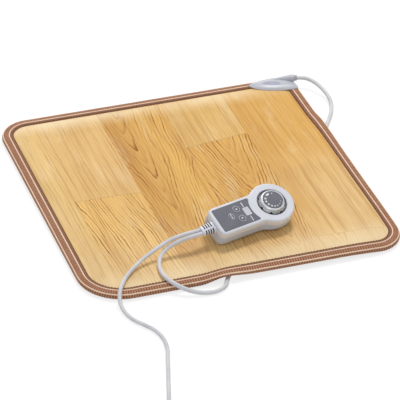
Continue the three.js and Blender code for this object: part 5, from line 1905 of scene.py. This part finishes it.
@dataclass(frozen=True)
class Lamp:
    """Square soft lamp that points at the pad."""

    name: str
    place: Triple
    side: float
    power: float
    tint: Triple = (1.0, 1.0, 1.0)

    def hang(self) -> None:
        """Hangs the lamp at its place."""
        light = bpy.data.lights.new(self.name, "AREA")
        light.size = self.side
        light.energy = self.power
        light.color = self.tint
        lamp = shown(self.name, light)
        lamp.location = self.place
        lamp.rotation_euler = (-Vector(self.place)).to_track_quat("-Z", "Y").to_euler()


@dataclass
class Studio:
    """White floor, soft light from behind and above, and the camera."""

    floor_side: float = 14.0
    floor_drop: float = 0.4 * MM
    floor_plain: float = 0.82
    floor_white: float = 0.3
    floor_glow: float = 0.76
    ambient: float = 0.5
    lamps: tuple[Lamp, ...] = (
        Lamp("key_lamp", (0.55, 1.0, 2.6), 0.75, 36.0),
        Lamp("fill_lamp", (-1.4, -2.3, 0.7), 1.6, 9.0, (0.78, 0.9, 1.0)),
        Lamp("rim_lamp", (0.3, 2.6, 1.0), 1.2, 8.0),
    )
    lens: float = 244.35
    sensor: float = 36.0
    farthest: float = 100.0
    azimuth: float = -20.32
    elevation: float = 34.0
    roll: float = 1.64
    eye: Triple = (-1.08194, -2.93791, 2.09066)

    @staticmethod
    def chosen(tree: Tree, lit: Socket, seen: Socket, output: str) -> None:
        """Shows one shader to the rays that see the background itself, and another to the rest.

        Args:
            tree: Tree of the floor or the world.
            lit: Shader that lights the object.
            seen: Shader for camera, glossy and transmission rays.
            output: Type name of the output node.
        """
        path = tree.node("ShaderNodeLightPath").outputs
        share = path["Is Camera Ray"]
        for name in ("Is Glossy Ray", "Is Transmission Ray"):
            share = tree.make("ShaderNodeMath", {0: share, 1: path[name]}, operation="MAXIMUM")
        tree.node(output, {0: tree.make("ShaderNodeMixShader", {0: share, 1: lit, 2: seen})})

    def build_floor(self) -> None:
        """Lays a white floor that still takes the object's shadow."""
        half, low = self.floor_side / 2, -self.floor_drop
        corners = [(-half, -half, low), (half, -half, low), (half, half, low), (-half, half, low)]
        material = bpy.data.materials.new("white_floor")
        material.use_nodes = True
        tree = Tree(material.node_tree)
        tree.tree.nodes.clear()
        plain, pale = (tree.make("ShaderNodeBsdfDiffuse", {"Color": (white, white, white, 1.0)})
                       for white in (self.floor_plain, self.floor_white))
        glow = tree.make("ShaderNodeEmission", {"Strength": self.floor_glow})
        both = tree.make("ShaderNodeAddShader", {0: pale, 1: glow})
        self.chosen(tree, plain, both, "ShaderNodeOutputMaterial")
        built("studio_floor", corners, [(0, 1, 2, 3)], material)

    def build_world(self) -> None:
        """Sets an even white surround."""
        world = bpy.data.worlds.new("studio")
        world.use_nodes = True
        bpy.context.scene.world = world
        tree = Tree(world.node_tree)
        tree.tree.nodes.clear()
        white = (1.0, 1.0, 1.0, 1.0)
        soft, full = (tree.make("ShaderNodeBackground", {"Color": white, "Strength": strength})
                      for strength in (self.ambient, 1.0))
        self.chosen(tree, soft, full, "ShaderNodeOutputWorld")

    def build_camera(self) -> None:
        """Puts the camera at the picture's place."""
        turn, rise, roll = (math.radians(value) for value in (self.azimuth, self.elevation, self.roll))
        level = math.cos(rise)
        back = Vector((math.sin(turn) * level, -math.cos(turn) * level, math.sin(rise)))
        right = Vector((math.cos(turn), math.sin(turn), 0.0))
        up = back.cross(right)
        rolled_right = right * math.cos(roll) + up * math.sin(roll)
        rolled_up = up * math.cos(roll) - right * math.sin(roll)
        camera = bpy.data.cameras.new("camera")
        camera.lens = self.lens
        camera.sensor_width = self.sensor
        camera.sensor_fit = "HORIZONTAL"
        camera.clip_end = self.farthest
        view = shown("camera", camera)
        axes = Matrix((rolled_right, rolled_up, back)).transposed().to_4x4()
        view.matrix_world = Matrix.Translation(self.eye) @ axes
        bpy.context.scene.camera = view

    def build(self) -> None:
        """Sets up the studio."""
        bpy.context.scene.view_settings.view_transform = "Standard"
        self.build_camera()
        self.build_floor()
        self.build_world()
        for lamp in self.lamps:
            lamp.hang()


def main() -> None:
    """Builds the studio and every piece of the object."""
    logging.basicConfig(level=logging.INFO, format="%(name)s: %(message)s")
    Studio().build()
    finishes = Finishes()
    shape = PadShape()
    sleeve = CornerHousing(finishes).dress()
    Leads(finishes).dress(sleeve)
    SeatPad(shape, finishes).dress()
    BoundEdge(shape, finishes).dress()
    Handset(finishes).dress()
    InnerWorks(finishes).dress()


if __name__ == "__main__":
    main()
